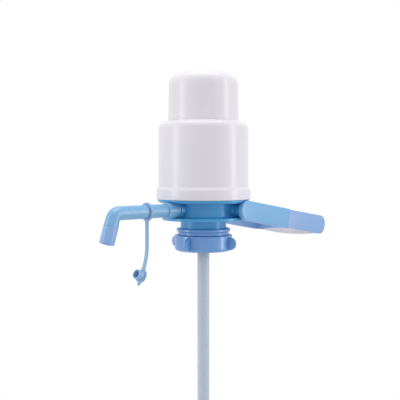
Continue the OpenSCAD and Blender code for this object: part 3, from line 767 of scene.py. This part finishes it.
@dataclass
class SpoolBody:
    """The light blue body: neck, dish, waist and rim, with its trunnions and the spout's root."""

    finishes: Finishes
    neck_low: float = 1.4
    neck_r: float = 27.4
    neck_bore: float = 24.9
    dish_z: float = 13.3
    dish_r: float = 49.5
    dish_t: float = 3.5
    waist_r: float = 39.0
    low_fillet: float = 2.6
    high_fillet: float = 2.0
    rim_z: float = 34.0
    rim_r: float = 53.2
    lip_z: float = 35.2
    lip_r: float = 55.0
    top_z: float = 38.0
    spigot_r: float = 50.9
    recess_r: float = 49.5
    ledge_z: float = 36.5
    cavity_r: float = 36.5
    floor_z: float = 15.8
    pivot_x: float = 18.0
    pivot_z: float = 25.1
    trunnion_r: float = 8.4
    trunnion_start: float = 34.5
    trunnion_end: float = 50.2
    trunnion_flare: float = 1.6
    arm_room_r: float = 12.4
    arm_room_end: float = 61.0
    spout_z: float = 26.1
    root_r: float = 10.3
    root_start: float = 37.0
    root_end: float = 44.8
    riser_r: float = 7.3
    riser_start: float = 30.0
    socket_r: float = 9.35
    socket_start: float = 42.0
    socket_end: float = 56.0

    def build_shell(self) -> Piece:
        """Makes the turned shell."""
        return lathe("pump_body_shell", [
            (self.neck_bore, self.neck_low, 0.3),
            (self.neck_r, self.neck_low, 0.3),
            (self.neck_r, self.dish_z, 1.0),
            (self.dish_r, self.dish_z, 0.6),
            (self.dish_r, self.dish_z + self.dish_t, 0.6),
            (self.waist_r, self.dish_z + self.dish_t, self.low_fillet),
            (self.waist_r, self.rim_z, self.high_fillet),
            (self.rim_r, self.rim_z, 0.6),
            (self.rim_r, self.lip_z, 0.4),
            (self.lip_r, self.lip_z, 0.9),
            (self.lip_r, self.top_z, 0.4),
            (self.spigot_r, self.top_z, 0.2),
            (self.spigot_r, self.top_z + 6, 0.4),
            (self.recess_r, self.top_z + 6, 0.4),
            (self.recess_r, self.ledge_z, 0.1),
            (self.cavity_r, self.ledge_z, 0.3),
            (self.cavity_r, self.floor_z, 1.5),
            (self.neck_bore, self.floor_z, 0.6),
        ], steps=192)

    def trunnion(self, side: int) -> Piece:
        """Makes a trunnion's boss, with a flared root, on the side given by 1 or -1."""
        start, root_r = self.trunnion_start, self.trunnion_r + self.trunnion_flare
        return lathe("trunnion", [
            (0, start, 0),
            (root_r, start, 0),
            (root_r, start + 3.0, 0.5),
            (self.trunnion_r, start + 5.6, 3.0),
            (self.trunnion_r, self.trunnion_end, 0.6),
            (0, self.trunnion_end, 0),
        ], pivot_frame(self.pivot_x, self.pivot_z, side), closed=False, steps=72)

    def root_ring(self) -> Piece:
        """Makes the ring that the spout comes out of, before its bore is cut."""
        return lathe("root_ring", [
            (0, self.root_start, 0),
            (self.root_r, self.root_start, 0),
            (self.root_r, self.root_end, 0.5),
            (0, self.root_end, 0),
        ], spout_frame(self.spout_z), closed=False, steps=96)

    def arm_room(self, side: int) -> Piece:
        """Makes the cut in the rim and the lip beside an arm, on the side given by 1 or -1."""
        margin, far, top_angle, arc_steps = 0.02, 24.0, radians(71.5), 8
        low = self.rim_z - margin - self.pivot_z
        high = self.top_z + margin - self.pivot_z
        start = asin(low / self.arm_room_r)
        angles = [start + (top_angle - start) * i / arc_steps for i in range(arc_steps + 1)]
        outline = [(self.arm_room_r * sin(a), -self.arm_room_r * cos(a)) for a in angles]
        outline += [(high, outline[-1][1]), (high, far), (low, far)]
        outline = [(up, along * side) for up, along in outline]
        place = pivot_frame(self.pivot_x, self.pivot_z, side)
        return prism("arm_room", outline, self.trunnion_end, self.arm_room_end, place)

    def socket_cutter(self) -> Piece:
        """Makes the plug that cuts the spout's socket into the waist."""
        return lathe("socket_cutter", [
            (0, self.riser_start, 0),
            (self.riser_r, self.riser_start, 0),
            (self.riser_r, self.socket_start, 0),
            (self.socket_r, self.socket_start, 0),
            (self.socket_r, self.socket_end, 0),
            (0, self.socket_end, 0),
        ], spout_frame(self.spout_z), closed=False, steps=96)

    def build(self) -> None:
        """Joins shell, trunnions and root ring, and cuts the socket."""
        shell = self.build_shell()
        combine(shell, [self.arm_room(1), self.arm_room(-1)], "DIFFERENCE")
        combine(shell, [self.trunnion(1), self.trunnion(-1), self.root_ring()])
        combine(shell, [self.socket_cutter()], "DIFFERENCE")
        shade(shell)
        # The body takes the darker copy of the light blue plastic, with its painted shade.
        dress(shell, self.finishes.body_blue_painted_shade, Body.BASE, Slot.LIGHT_BLUE, "pump_body")
        dress_node("water_riser", self.finishes.white, edge=0.2)
        dress_node("handle_pivots", self.finishes.steel, edge=0.3)


@dataclass
class NeckClamp:
    """The clamp on the jug's neck, its gasket, and the collar nut with finger lugs."""

    finishes: Finishes
    socket_r: float = 27.9
    finger_r: float = 29.9
    finger_low: float = -21.9
    bead_low: float = -19.5
    bead_proud: float = 0.9
    step_low: float = -4.6
    step_r: float = 30.6
    flange_low: float = -0.6
    flange_r: float = 32.3
    flange_top: float = 3.0
    web_low: float = 1.4
    web_bore: float = 27.5
    slot_count: int = 8
    slot_w: float = 1.6
    nut_low: float = -23.9
    nut_top: float = -4.9
    nut_r: float = 34.55
    nut_bore: float = 30.25
    nut_round: float = 4.0
    lug_count: int = 4
    lug_turn: float = 16.0
    lug_r: float = 7.5
    lug_t: float = 3.2
    lug_proud: float = 9.2

    def build_clamp(self) -> Piece:
        """Makes the flange, step and slotted fingers."""
        bead = self.finger_r + self.bead_proud
        clamp = lathe("neck_clamp_ring", [
            (self.socket_r, self.finger_low, 0.4),
            (self.finger_r, self.finger_low, 0.4),
            (self.finger_r, self.bead_low - self.bead_proud, 0.2),
            (bead, self.bead_low, 0.2),
            (bead, self.bead_low + 1.6, 0.2),
            (self.finger_r, self.bead_low + 1.6, 0.2),
            (self.finger_r, self.step_low, 0.1),
            (self.step_r, self.step_low, 0.5),
            (self.step_r, self.flange_low, 0.7),
            (self.flange_r, self.flange_low, 1.1),
            (self.flange_r, self.flange_top, 1.1),
            (self.web_bore, self.flange_top, 0.2),
            (self.web_bore, self.web_low, 0.1),
            (self.socket_r, self.web_low, 0.1),
        ])
        half = self.slot_w / 2
        box = rectangle(self.socket_r - 2, -half, self.finger_r + 2, half)
        for i in range(self.slot_count):
            turn = Matrix.Rotation(tau * (i + 0.5) / self.slot_count, 4, "Z")
            cutter = prism("slot_cutter", box, self.finger_low - 1, self.step_low - 1.5, turn)
            combine(clamp, [cutter], "DIFFERENCE")
        return shade(clamp)

    def lug(self, index: int) -> Piece:
        """Makes one finger lug: a plain half disc with slightly rounded edges."""
        mid_z = (self.nut_low + self.nut_top) / 2
        turn = radians(self.lug_turn) + tau * index / self.lug_count
        centre_r = self.nut_r + self.lug_proud - self.lug_r
        outward = Vector((cos(turn), sin(turn), 0))
        origin = outward * centre_r * MM + Vector((0, 0, mid_z * MM))
        place = frame_at(origin, Vector((-outward.y, outward.x, 0)), outward)
        half = self.lug_t / 2
        return lathe("lug", [
            (0, -half, 0),
            (self.lug_r, -half, 0.5),
            (self.lug_r, half, 0.5),
            (0, half, 0),
        ], place, closed=False, steps=72)

    def build_nut(self) -> Piece:
        """Makes the nut's ring and joins its lugs to it."""
        nut = lathe("collar_nut_ring", [
            (0.0, self.nut_low, 0),
            (self.nut_r, self.nut_low, self.nut_round),
            (self.nut_r, self.nut_top, 1.0),
            (0.0, self.nut_top, 0),
        ], closed=False, steps=192)
        combine(nut, [self.lug(i) for i in range(self.lug_count)])
        groove = self.nut_bore + self.bead_proud
        bore = lathe("bore_cutter", [
            (0, self.nut_low - 2, 0),
            (self.socket_r + 0.8, self.nut_low - 2, 0),
            (self.socket_r + 0.3, self.nut_low + 0.6, 0.4),
            (self.socket_r + 0.3, self.nut_low + 1.7, 0.2),
            (self.nut_bore, self.nut_low + 1.7, 0.2),
            (self.nut_bore, self.bead_low - 1.2, 0.1),
            (groove, self.bead_low - 1.2, 0.1),
            (groove, self.bead_low + 1.9, 0.1),
            (self.nut_bore, self.bead_low + 1.9, 0.1),
            (self.nut_bore, self.nut_top - 0.6, 0.3),
            (self.nut_bore + 0.8, self.nut_top + 2, 0),
            (0, self.nut_top + 2, 0),
        ], closed=False)
        combine(nut, [bore], "DIFFERENCE")
        return shade(nut)

    def build(self) -> None:
        """Makes and dresses the clamp, its nut and its gasket."""
        # The clamp and the nut take the darker copy of the violet blue plastic, with its painted
        # shade.
        blue = self.finishes.violet_blue_painted_shade
        dress(self.build_clamp(), blue, Body.BASE, Slot.VIOLET_BLUE, "neck_clamp")
        dress(self.build_nut(), blue, Body.NUT, Slot.VIOLET_BLUE, "collar_nut")
        dress_node("neck_gasket", self.finishes.rubber, edge=0.3)


@dataclass
class Spout:
    """The spout: its pipe with the bend, the ferrule at the root and the nozzle at the tip."""

    finishes: Finishes
    axis_z: float = 26.1
    start: float = 42.3
    elbow: float = 135.6
    pipe_r: float = 7.75
    pipe_bore: float = 6.25
    root_r: float = 7.2
    ferrule_r: float = 9.0
    ferrule_len: float = 20.3
    bend_r: float = 8.65
    lean: float = 17.6
    leg_len: float = 15.2
    leg_end_r: float = 8.2
    nozzle_r: float = 8.25
    nozzle_bore: float = 5.75
    nozzle_len: float = 19.0
    nozzle_plug: float = 6.0

    def leg_frame(self, d: float) -> Matrix:
        """The frame on the pipe's leg, a distance d from the corner of the elbow."""
        lean = radians(self.lean)
        down = Vector((-sin(lean), 0, -cos(lean)))
        origin = Vector((-self.elbow, 0, self.axis_z)) + down * d
        return frame_at(origin * MM, down, Vector((-cos(lean), 0, sin(lean))))

    def path(self) -> list[Matrix]:
        """Frames along the middle of the pipe, from its root to the end of its leg."""
        turn = radians(90 - self.lean)
        reach = self.bend_r * tan(turn / 2)
        start = self.elbow - reach
        step = self.start + self.ferrule_len
        stops = (self.start, step - 0.4, step, 75.0, 110.0, start - 2)
        frames = [spout_frame(self.axis_z, stop) for stop in stops]
        steps = 24
        for i in range(steps + 1):
            angle = turn * i / steps
            along = Vector((-cos(angle), 0, -sin(angle)))
            side = Vector((-sin(angle), 0, cos(angle)))
            origin = Vector((
                -(start + self.bend_r * sin(angle)), 0,
                self.axis_z - self.bend_r * (1 - cos(angle)),
            ))
            frames.append(frame_at(origin * MM, along, side))
        frames += [self.leg_frame(d) for d in (self.leg_len - 0.3, self.leg_len)]
        return frames

    def build_pipe(self) -> Piece:
        """Makes the hollow pipe as one skin, outside and bore."""
        frames = self.path()
        count = len(frames)
        outer = [self.root_r] * 2 + [self.pipe_r] * (count - 4)
        outer += [self.leg_end_r, self.leg_end_r - 0.25]
        stations = [(f, circle(r, 64)) for f, r in zip(frames, outer)]
        stations += [(f, circle(self.pipe_bore, 64)) for f in reversed(frames)]
        return sweep("spout_pipe_skin", stations, closed=True)

    def build_ferrule(self) -> Piece:
        """Makes the ferrule round the pipe's root."""
        end = self.start + self.ferrule_len - 0.1
        return lathe("spout_ferrule_ring", [
            (self.root_r + 0.1, self.start, 0.2),
            (self.ferrule_r, self.start, 0.2),
            (self.ferrule_r, end, 0.9),
            (self.pipe_r + 0.05, end, 0.1),
            (self.pipe_r - 0.1, end - 0.3, 0.05),
            (self.root_r + 0.1, end - 0.3, 0.1),
        ], spout_frame(self.axis_z), steps=96)

    def build_nozzle(self) -> Piece:
        """Makes the nozzle: a sleeve with a rounded mouth and a spigot in the pipe."""
        top = self.leg_len
        end = top + self.nozzle_len
        return lathe("spout_nozzle_sleeve", [
            (self.nozzle_bore, top - self.nozzle_plug, 0.3),
            (self.pipe_bore - 0.05, top - self.nozzle_plug, 0.2),
            (self.pipe_bore - 0.05, top, 0.05),
            (self.nozzle_r, top, 0.35),
            (self.nozzle_r, end, 0.5),
            (self.nozzle_bore, end, 0.5),
        ], self.leg_frame(0), steps=96)

    def build(self) -> None:
        """Makes and dresses the spout's pieces."""
        light, violet = self.finishes.pipe_blue, self.finishes.nozzle_blue
        dress(self.build_pipe(), light, Body.SPOUT, Slot.LIGHT_BLUE, "spout_pipe")
        dress(self.build_ferrule(), light, Body.SPOUT, Slot.LIGHT_BLUE, "spout_ferrule")
        dress(self.build_nozzle(), violet, Body.SPOUT, Slot.VIOLET_BLUE, "spout_nozzle")
        dress_node("spout_oring", self.finishes.rubber)


@dataclass
class PlugStrap:
    """The plug on its strap, moulded with the ring that hangs it on the spout."""

    finishes: Finishes
    axis_z: float = 26.1
    ring_s: float = 89.3
    ring_bore: float = 7.83
    ring_wall: float = 2.5
    ring_w: float = 3.5
    strap_w: float = 4.6
    strap_t: float = 2.2
    straight: float = 27.0
    curve: float = 28.0
    turn: float = 23.0
    flange_r: float = 8.1
    flange_t: float = 1.6
    plug_r: float = 5.5
    plug_wall: float = 1.35
    plug_len: float = 7.5
    tab_r: float = 2.1
    tab_out: float = 0.9

    def strap_section(self, width: float) -> list[Point]:
        """The strap's section, flat with round edges, at a width in millimetres."""
        half_w, half_t = width / 2, self.strap_t / 2
        return round_corners([
            (half_t, -half_w, 0.6), (half_t, half_w, 0.6),
            (-half_t, half_w, 0.6), (-half_t, -half_w, 0.6),
        ])

    def build_strap(self) -> tuple[Piece, Vector, float]:
        """Makes the strap from inside the ring to inside the plug's flange.

        Returns:
            The strap, its end point in millimetres, and its angle there.
        """
        ring_r = self.ring_bore + self.ring_wall
        top_z = self.axis_z - self.ring_bore - self.ring_wall / 2
        knee_z = self.axis_z - ring_r - self.straight
        radius = self.curve / radians(self.turn)
        root_flare, root_len, end_flare, end_overlap, steps = 3.4, 0.12, 2.2, 1.4, 14

        def bend(angle: float) -> Vector:
            """The point of the curved length at an angle, in millimetres."""
            return Vector((-self.ring_s - radius * (1 - cos(angle)), 0,
                           knee_z - radius * sin(angle)))

        stations = []
        for share in (0, 0.03, 0.07, 0.15, 0.4, 0.7, 1.0):
            width = self.strap_w + root_flare * max(0.0, 1 - share / root_len) ** 2
            origin = Vector((-self.ring_s, 0, top_z + (knee_z - top_z) * share)) * MM
            stations.append((frame_at(origin, Vector((0, 0, -1)), Vector((1, 0, 0))),
                             self.strap_section(width)))
        for i in range(1, steps + 2):
            angle = radians(self.turn) * min(1.0, i / steps)
            along = Vector((-sin(angle), 0, -cos(angle)))
            side = Vector((cos(angle), 0, -sin(angle)))
            origin = bend(angle) + along * (end_overlap if i > steps else 0.0)
            width = self.strap_w + end_flare * max(0.0, (i - steps + 3) / 4) ** 2
            stations.append((frame_at(origin * MM, along, side), self.strap_section(width)))
        end_angle = radians(self.turn)
        return sweep("plug_strap_moulding", stations), bend(end_angle), end_angle

    def build(self) -> None:
        """Makes the moulding and hangs it on the spout."""
        strap, end, angle = self.build_strap()
        ring_r = self.ring_bore + self.ring_wall
        near, far = self.ring_s - self.ring_w / 2, self.ring_s + self.ring_w / 2
        ring = lathe("ring", [
            (self.ring_bore, near, 0.4), (ring_r, near, 0.9),
            (ring_r, far, 0.9), (self.ring_bore, far, 0.4),
        ], spout_frame(self.axis_z), steps=96)
        along = Vector((-sin(angle), 0, -cos(angle)))
        facing = Vector((-cos(angle), 0, sin(angle)))
        centre = (end + along * (self.flange_r - 0.6)) * MM
        half_t = self.flange_t / 2
        bore_r = self.plug_r - self.plug_wall
        plug = lathe("plug", [
            (0, -half_t, 0),
            (self.flange_r, -half_t, 0.6),
            (self.flange_r, half_t, 0.6),
            (self.plug_r + 0.3, half_t, 0.5),
            (self.plug_r, half_t + self.plug_len, 0.6),
            (bore_r, half_t + self.plug_len, 0.3),
            (bore_r, half_t + 0.4, 0.8),
            (0, half_t + 0.4, 0),
        ], frame_at(centre, facing, along), closed=False, steps=72)
        tab_at = centre + along * (self.flange_r + self.tab_out) * MM
        tab = lathe("tab", [
            (0, -half_t, 0), (self.tab_r, -half_t, 0.5), (self.tab_r, half_t, 0.5), (0, half_t, 0),
        ], frame_at(tab_at, facing, along), closed=False, steps=32)
        shade(combine(strap, [ring, plug, tab]), 32)
        dress(strap, self.finishes.strap_blue, Body.PLUG, Slot.LIGHT_BLUE, "plug_strap")


@dataclass
class Handle:
    """The carry bail: two light blue sleeves, the violet blue bow and the white palm grip."""

    finishes: Finishes
    pivot_x: float = 18.0
    pivot_z: float = 25.1
    droop: float = 9.5
    arm_in: float = 50.5
    arm_t: float = 6.5
    end_r: float = 11.8
    sleeve_end_h: float = 24.4
    sleeve_len: float = 76.0
    step: float = 1.0
    pin_bore: float = 3.58
    pin_depth: float = 4.1
    tongue_len: float = 20.0
    tongue_h: float = 16.0
    tongue_t: float = 3.2
    reach: float = 151.7
    bow_end_h: float = 23.8
    bow_round: float = 10.0
    bar_t: float = 8.0
    core_t: float = 6.0
    core_h: float = 19.6
    grip_len: float = 80.0
    grip_h: float = 29.2
    grip_depth: float = 14.0
    grip_wrap: float = 4.2
    grip_end_wrap: float = 1.0

    def arm_frame(self, side: int) -> Matrix:
        """The arm's frame: X along the arm, Y up, and Z outwards on the side given by 1 or -1."""
        droop = radians(self.droop)
        along = Vector((cos(droop), 0, -sin(droop)))
        up = Vector((sin(droop), 0, cos(droop)))
        turn = Matrix((along, up, Vector((0, side, 0)))).transposed().to_4x4()
        return Matrix.Translation(Vector((self.pivot_x, 0, self.pivot_z)) * MM) @ turn

    def build_sleeve(self, side: int) -> Piece:
        """Makes an arm's sleeve, with its blind pivot bore and the pocket for the bow's tongue."""
        name = "handle_sleeve_skin_" + ("rear" if side > 0 else "front")
        half, steps = self.sleeve_end_h / 2, 48
        angles = [pi / 2 + pi * i / steps for i in range(steps + 1)]
        outline = [(self.end_r * cos(a), self.end_r * sin(a)) for a in angles]
        outline += [(self.sleeve_len, -half), (self.sleeve_len, half)]
        frame = self.arm_frame(side)
        sleeve = prism(name, outline, self.arm_in, self.arm_in + self.arm_t, frame)
        soften(sleeve, 1.3, segments=5)
        bore = prism("bore_cutter", circle(self.pin_bore), self.arm_in - 1,
                     self.arm_in + self.pin_depth, frame)
        pocket = self.tongue("pocket_cutter", 0.1, 2.0, side)
        combine(sleeve, [bore, pocket], "DIFFERENCE")
        return shade(sleeve)

    def tongue(self, name: str, extra: float, past: float, side: int) -> Piece:
        """Makes the tongue that joins an arm's two halves, or the room for it.

        Args:
            name: the piece's name.
            extra: how far its faces lie outside the tongue's.
            past: how far it reaches past the sleeve's end.
            side: 1 or -1, the arm's side.

        Returns:
            The new object.
        """
        half, half_t = self.tongue_h / 2 + extra, self.tongue_t / 2 + extra
        middle = self.arm_in + self.arm_t / 2
        outline = rectangle(self.sleeve_len - self.tongue_len - extra, -half,
                            self.sleeve_len + past, half)
        return prism(name, outline, middle - half_t, middle + half_t, self.arm_frame(side))

    def bow_outline(self, start: float) -> list[Point]:
        """Side profile of the bow from a distance along the arm to its rounded end."""
        low = self.sleeve_end_h / 2 - self.step
        high = self.bow_end_h / 2
        share = (start - self.sleeve_len) / (self.reach - self.sleeve_len)
        half = low + (high - low) * max(0.0, share)
        return round_corners([
            (start, half, 0), (start, -half, 0),
            (self.reach, -high, self.bow_round), (self.reach, high, self.bow_round),
        ])

    def build_bow(self) -> Piece:
        """Makes the bow: two arms with tongues, and the cross bar between them."""
        start = self.sleeve_len + 0.1
        low, high = self.arm_in + self.step / 2, self.arm_in + self.arm_t - self.step / 2
        right = self.arm_frame(-1)
        bow = prism("handle_bow_skin", self.bow_outline(start), -high, high, right)
        inside = self.reach - self.bar_t
        gap = prism("gap_cutter", rectangle(start - 5, -20, inside, 20), -low, low, right)
        combine(bow, [gap], "DIFFERENCE")
        soften(bow, 0.9, segments=4)
        room = self.grip_zone(0.1, -20)
        combine(room, [self.core(0.0, self.grip_len / 2 + 2)], "DIFFERENCE")
        combine(bow, [room], "DIFFERENCE")
        combine(bow, [self.tongue("tongue", 0.0, 1.1, side) for side in (1, -1)])
        return shade(bow)

    def core(self, extra: float, half: float) -> Piece:
        """Makes the bar's core inside the grip, thicker by an amount, to a half length."""
        centre = self.reach - self.bar_t / 2
        wide, tall = self.core_t / 2 + extra, self.core_h / 2 + extra
        outline = rectangle(centre - wide, -tall, centre + wide, tall)
        return prism("bar_core", outline, -half, half, self.arm_frame(-1))

    def grip_zone(self, extra: float, far: float) -> Piece:
        """Makes a block on one side of the grip's curved upper edge.

        Args:
            extra: how far the block's ends and its curved edge lie outside the grip's.
            far: height of the block's flat side, below or above the edge.

        Returns:
            The block, as deep as the bar and more.
        """
        half = self.grip_len / 2 + (extra if far < 0 else 3)
        edge, steps = [], 32
        for i in range(steps + 1):
            share = 2 * i / steps - 1
            rise = self.grip_end_wrap + (self.grip_wrap - self.grip_end_wrap) * (1 - share * share)
            edge.append((share * half, extra + rise - self.bow_end_h / 2))
        outline = edge + [(half, far), (-half, far)]
        arm = self.arm_frame(1)
        frame = Matrix.Translation(arm.translation) @ Matrix((
            arm.col[2].xyz, arm.col[1].xyz, arm.col[0].xyz)).transposed().to_4x4()
        return prism("grip_zone", outline if far > 0 else outline[::-1],
                     self.reach - 25, self.reach + 15, frame)

    def build_grip(self) -> Piece:
        """Makes the palm grip: a swelling pad that wraps the bar's lower edge."""
        frame = self.arm_frame(1)
        centre = self.reach - self.bar_t / 2
        half = self.grip_len / 2
        steps, round_steps = 40, 72
        end_power, middle_power = 5.5, 2.6
        stations = []
        for i in range(steps + 1):
            y = -half + self.grip_len * i / steps
            swell = 1 - (y / half) ** 2
            height = (self.bow_end_h + (self.grip_h - self.bow_end_h) * swell) / 2
            depth = (self.bar_t + (self.grip_depth - self.bar_t) * swell) / 2
            power = 2 / (end_power - (end_power - middle_power) * swell)
            section = [
                (centre + copysign(abs(c) ** power, c) * depth,
                 copysign(abs(s) ** power, s) * height)
                for c, s in circle(1, round_steps)
            ]
            stations.append((frame @ Matrix.Translation(Vector((0, 0, y * MM))), section))
        grip = sweep("handle_grip_barrel", stations)
        combine(grip, [self.grip_zone(0.0, 30)], "DIFFERENCE")
        soften(grip, 0.5, segments=3)
        combine(grip, [self.core(0.1, half + 2)], "DIFFERENCE")
        return shade(grip)

    def build(self) -> None:
        """Makes and dresses the handle's pieces."""
        light, violet = self.finishes.light_blue, self.finishes.bow_blue
        for side, node in ((-1, "handle_sleeve_front"), (1, "handle_sleeve_rear")):
            dress(self.build_sleeve(side), light, Body.HANDLE, Slot.LIGHT_BLUE, node)
        dress(self.build_bow(), violet, Body.HANDLE, Slot.VIOLET_BLUE, "handle_bow")
        dress(self.build_grip(), self.finishes.grip_white, Body.HANDLE, Slot.WHITE, "handle_grip")


@dataclass
class DipTube:
    """The dip tube in two lengths, its coupler and its slotted foot."""

    finishes: Finishes
    tube_r: float = 7.2
    tube_bore: float = 5.6

    def build_length(self, name: str, node: str) -> Piece:
        """Makes one length of tube where its node lies."""
        low, high = (corner[2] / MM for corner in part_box(node))
        return lathe(name, [
            (self.tube_bore, low, 0.3), (self.tube_r, low, 0.4),
            (self.tube_r, high, 0.4), (self.tube_bore, high, 0.3),
        ], steps=96)

    def build(self) -> None:
        """Makes and dresses the tube's pieces."""
        for name, node in (("dip_tube_upper_length", "dip_tube_upper"),
                           ("dip_tube_lower_length", "dip_tube_lower")):
            dress(self.build_length(name, node), self.finishes.tube, Body.BASE, Slot.TUBE, node)
        dress_node("tube_coupler", self.finishes.white, edge=0.4)
        dress_node("tube_foot", self.finishes.white, edge=0.4)


# ---- Studio ---------------------------------------------------------------------------


@dataclass
class Studio:
    """Plain pale floor, white surroundings, two tall soft boxes and a large one overhead."""

    image_px: float = 400.0
    focal_px: float = 750.0
    sensor_mm: float = 36.0
    distance: float = 0.9
    eye_z: float = 0.075
    axis_px: float = 203.4
    horizon_px: float = 168.0
    camera_azimuth: float = 225.0
    floor_z: float = -0.473
    floor_r: float = 0.72
    ambient: float = 0.7

    def add_camera(self) -> None:
        """Sets the camera at the photograph's place, aimed so that the axis and horizon match."""
        data = bpy.data.cameras.new("camera")
        data.sensor_width = self.sensor_mm
        data.lens = self.sensor_mm * self.focal_px / self.image_px
        data.dof.use_dof = False
        camera = bpy.data.objects.new("camera", data)
        bpy.context.collection.objects.link(camera)
        a = radians(self.camera_azimuth)
        camera.location = Vector((cos(a), sin(a), 0)) * self.distance
        camera.location.z = self.eye_z
        middle = self.image_px / 2
        down = atan((middle - self.horizon_px) / self.focal_px)
        left = atan((self.axis_px - middle) / self.focal_px)
        camera.rotation_euler = (pi / 2 - down, 0, a + pi / 2 + left)
        bpy.context.scene.camera = camera

    def add_lamp(self, name: str, azimuth: float, height: float, size: Point, power: float,
                 distance: float = 1.5) -> None:
        """Adds a soft box that faces the pump.

        Args:
            name: the lamp's name.
            azimuth: its direction from the camera's, in degrees towards the picture's right.
            height: its height above the seat, in metres.
            size: its width and height, in metres.
            power: its power, in watts.
            distance: its distance from the pump's axis, in metres.
        """
        data = bpy.data.lights.new(name, "AREA")
        data.shape = "RECTANGLE"
        data.size, data.size_y = size
        data.energy = power
        lamp = bpy.data.objects.new(name, data)
        bpy.context.collection.objects.link(lamp)
        a = radians(self.camera_azimuth + azimuth)
        lamp.location = (distance * cos(a), distance * sin(a), height)
        aim = Vector((0, 0, 0.06)) - lamp.location
        lamp.rotation_euler = aim.to_track_quat("-Z", "Y").to_euler()

    def seen_rays(self, tree: bpy.types.NodeTree):
        """Adds the factor that is 1 for camera, glossy and transmission rays, and returns it."""
        path = tree.nodes.new("ShaderNodeLightPath")
        value = path.outputs["Is Camera Ray"]
        for name in ("Is Glossy Ray", "Is Transmission Ray"):
            made = add_node(tree, "Math", {}, {0: value, 1: path.outputs[name]})
            made.operation = "MAXIMUM"
            value = made.outputs[0]
        return value

    def add_world(self) -> None:
        """Makes the surroundings white to the eye and soft as a light."""
        world = bpy.data.worlds.new("surroundings")
        world.use_nodes = True
        tree = world.node_tree
        glow = tree.nodes["Background"]
        glow.inputs["Color"].default_value = (1, 1, 1, 1)
        mix = add_node(tree, "MapRange", {"To Min": self.ambient, "To Max": 1.0},
                       {"Value": self.seen_rays(tree)})
        tree.links.new(mix.outputs["Result"], glow.inputs["Strength"])
        bpy.context.scene.world = world

    def add_floor(self) -> None:
        """Lays the pale floor under the foot of the dip tube."""
        bm = bmesh.new()
        bmesh.ops.create_circle(bm, cap_ends=True, segments=96, radius=self.floor_r)
        mesh = bpy.data.meshes.new("floor")
        bm.to_mesh(mesh)
        bm.free()
        floor = new_object("floor", mesh)
        floor.location.z = self.floor_z
        surface = Surface("pale_floor")
        tone = surface.spread(surface.noise(5, 2), 0, 1)
        surface.drive("Base Color", surface.tint(tone, (196, 196, 197), (199, 199, 200)))
        surface.fix(Roughness=0.9)
        tree = surface.tree
        lift = add_node(tree, "Math", {1: 0.5}, {0: self.seen_rays(tree)})
        lift.operation = "MULTIPLY"
        surface.shader.inputs["Emission Color"].default_value = (1, 1, 1, 1)
        tree.links.new(lift.outputs[0], surface.shader.inputs["Emission Strength"])
        floor.data.materials.append(surface.material)

    def build(self) -> None:
        """Sets up camera, lamps, surroundings and floor."""
        self.add_camera()
        self.add_world()
        self.add_floor()
        self.add_lamp("left_strip", -73, 0.2, (0.22, 1.1), 5.2)
        self.add_lamp("right_strip", 80, 0.2, (0.22, 1.1), 5.9)
        self.add_lamp("overhead", 0, 1.55, (1.3, 1.3), 12.5, distance=0.0)
        bpy.context.scene.view_settings.view_transform = "Standard"


def main() -> None:
    """Builds the pump around its frame, part by part, and sets up the studio."""
    logging.basicConfig(level=logging.INFO, format="%(message)s")
    NODES.update(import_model()["nodes"])
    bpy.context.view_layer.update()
    finishes = Finishes()
    Studio().build()
    for part in (PressHead, AirChamber, SpoolBody, NeckClamp, Spout, PlugStrap, Handle, DipTube):
        LOG.info("building %s", part.__name__)
        part(finishes).build()



if __name__ == "__main__":
    main()
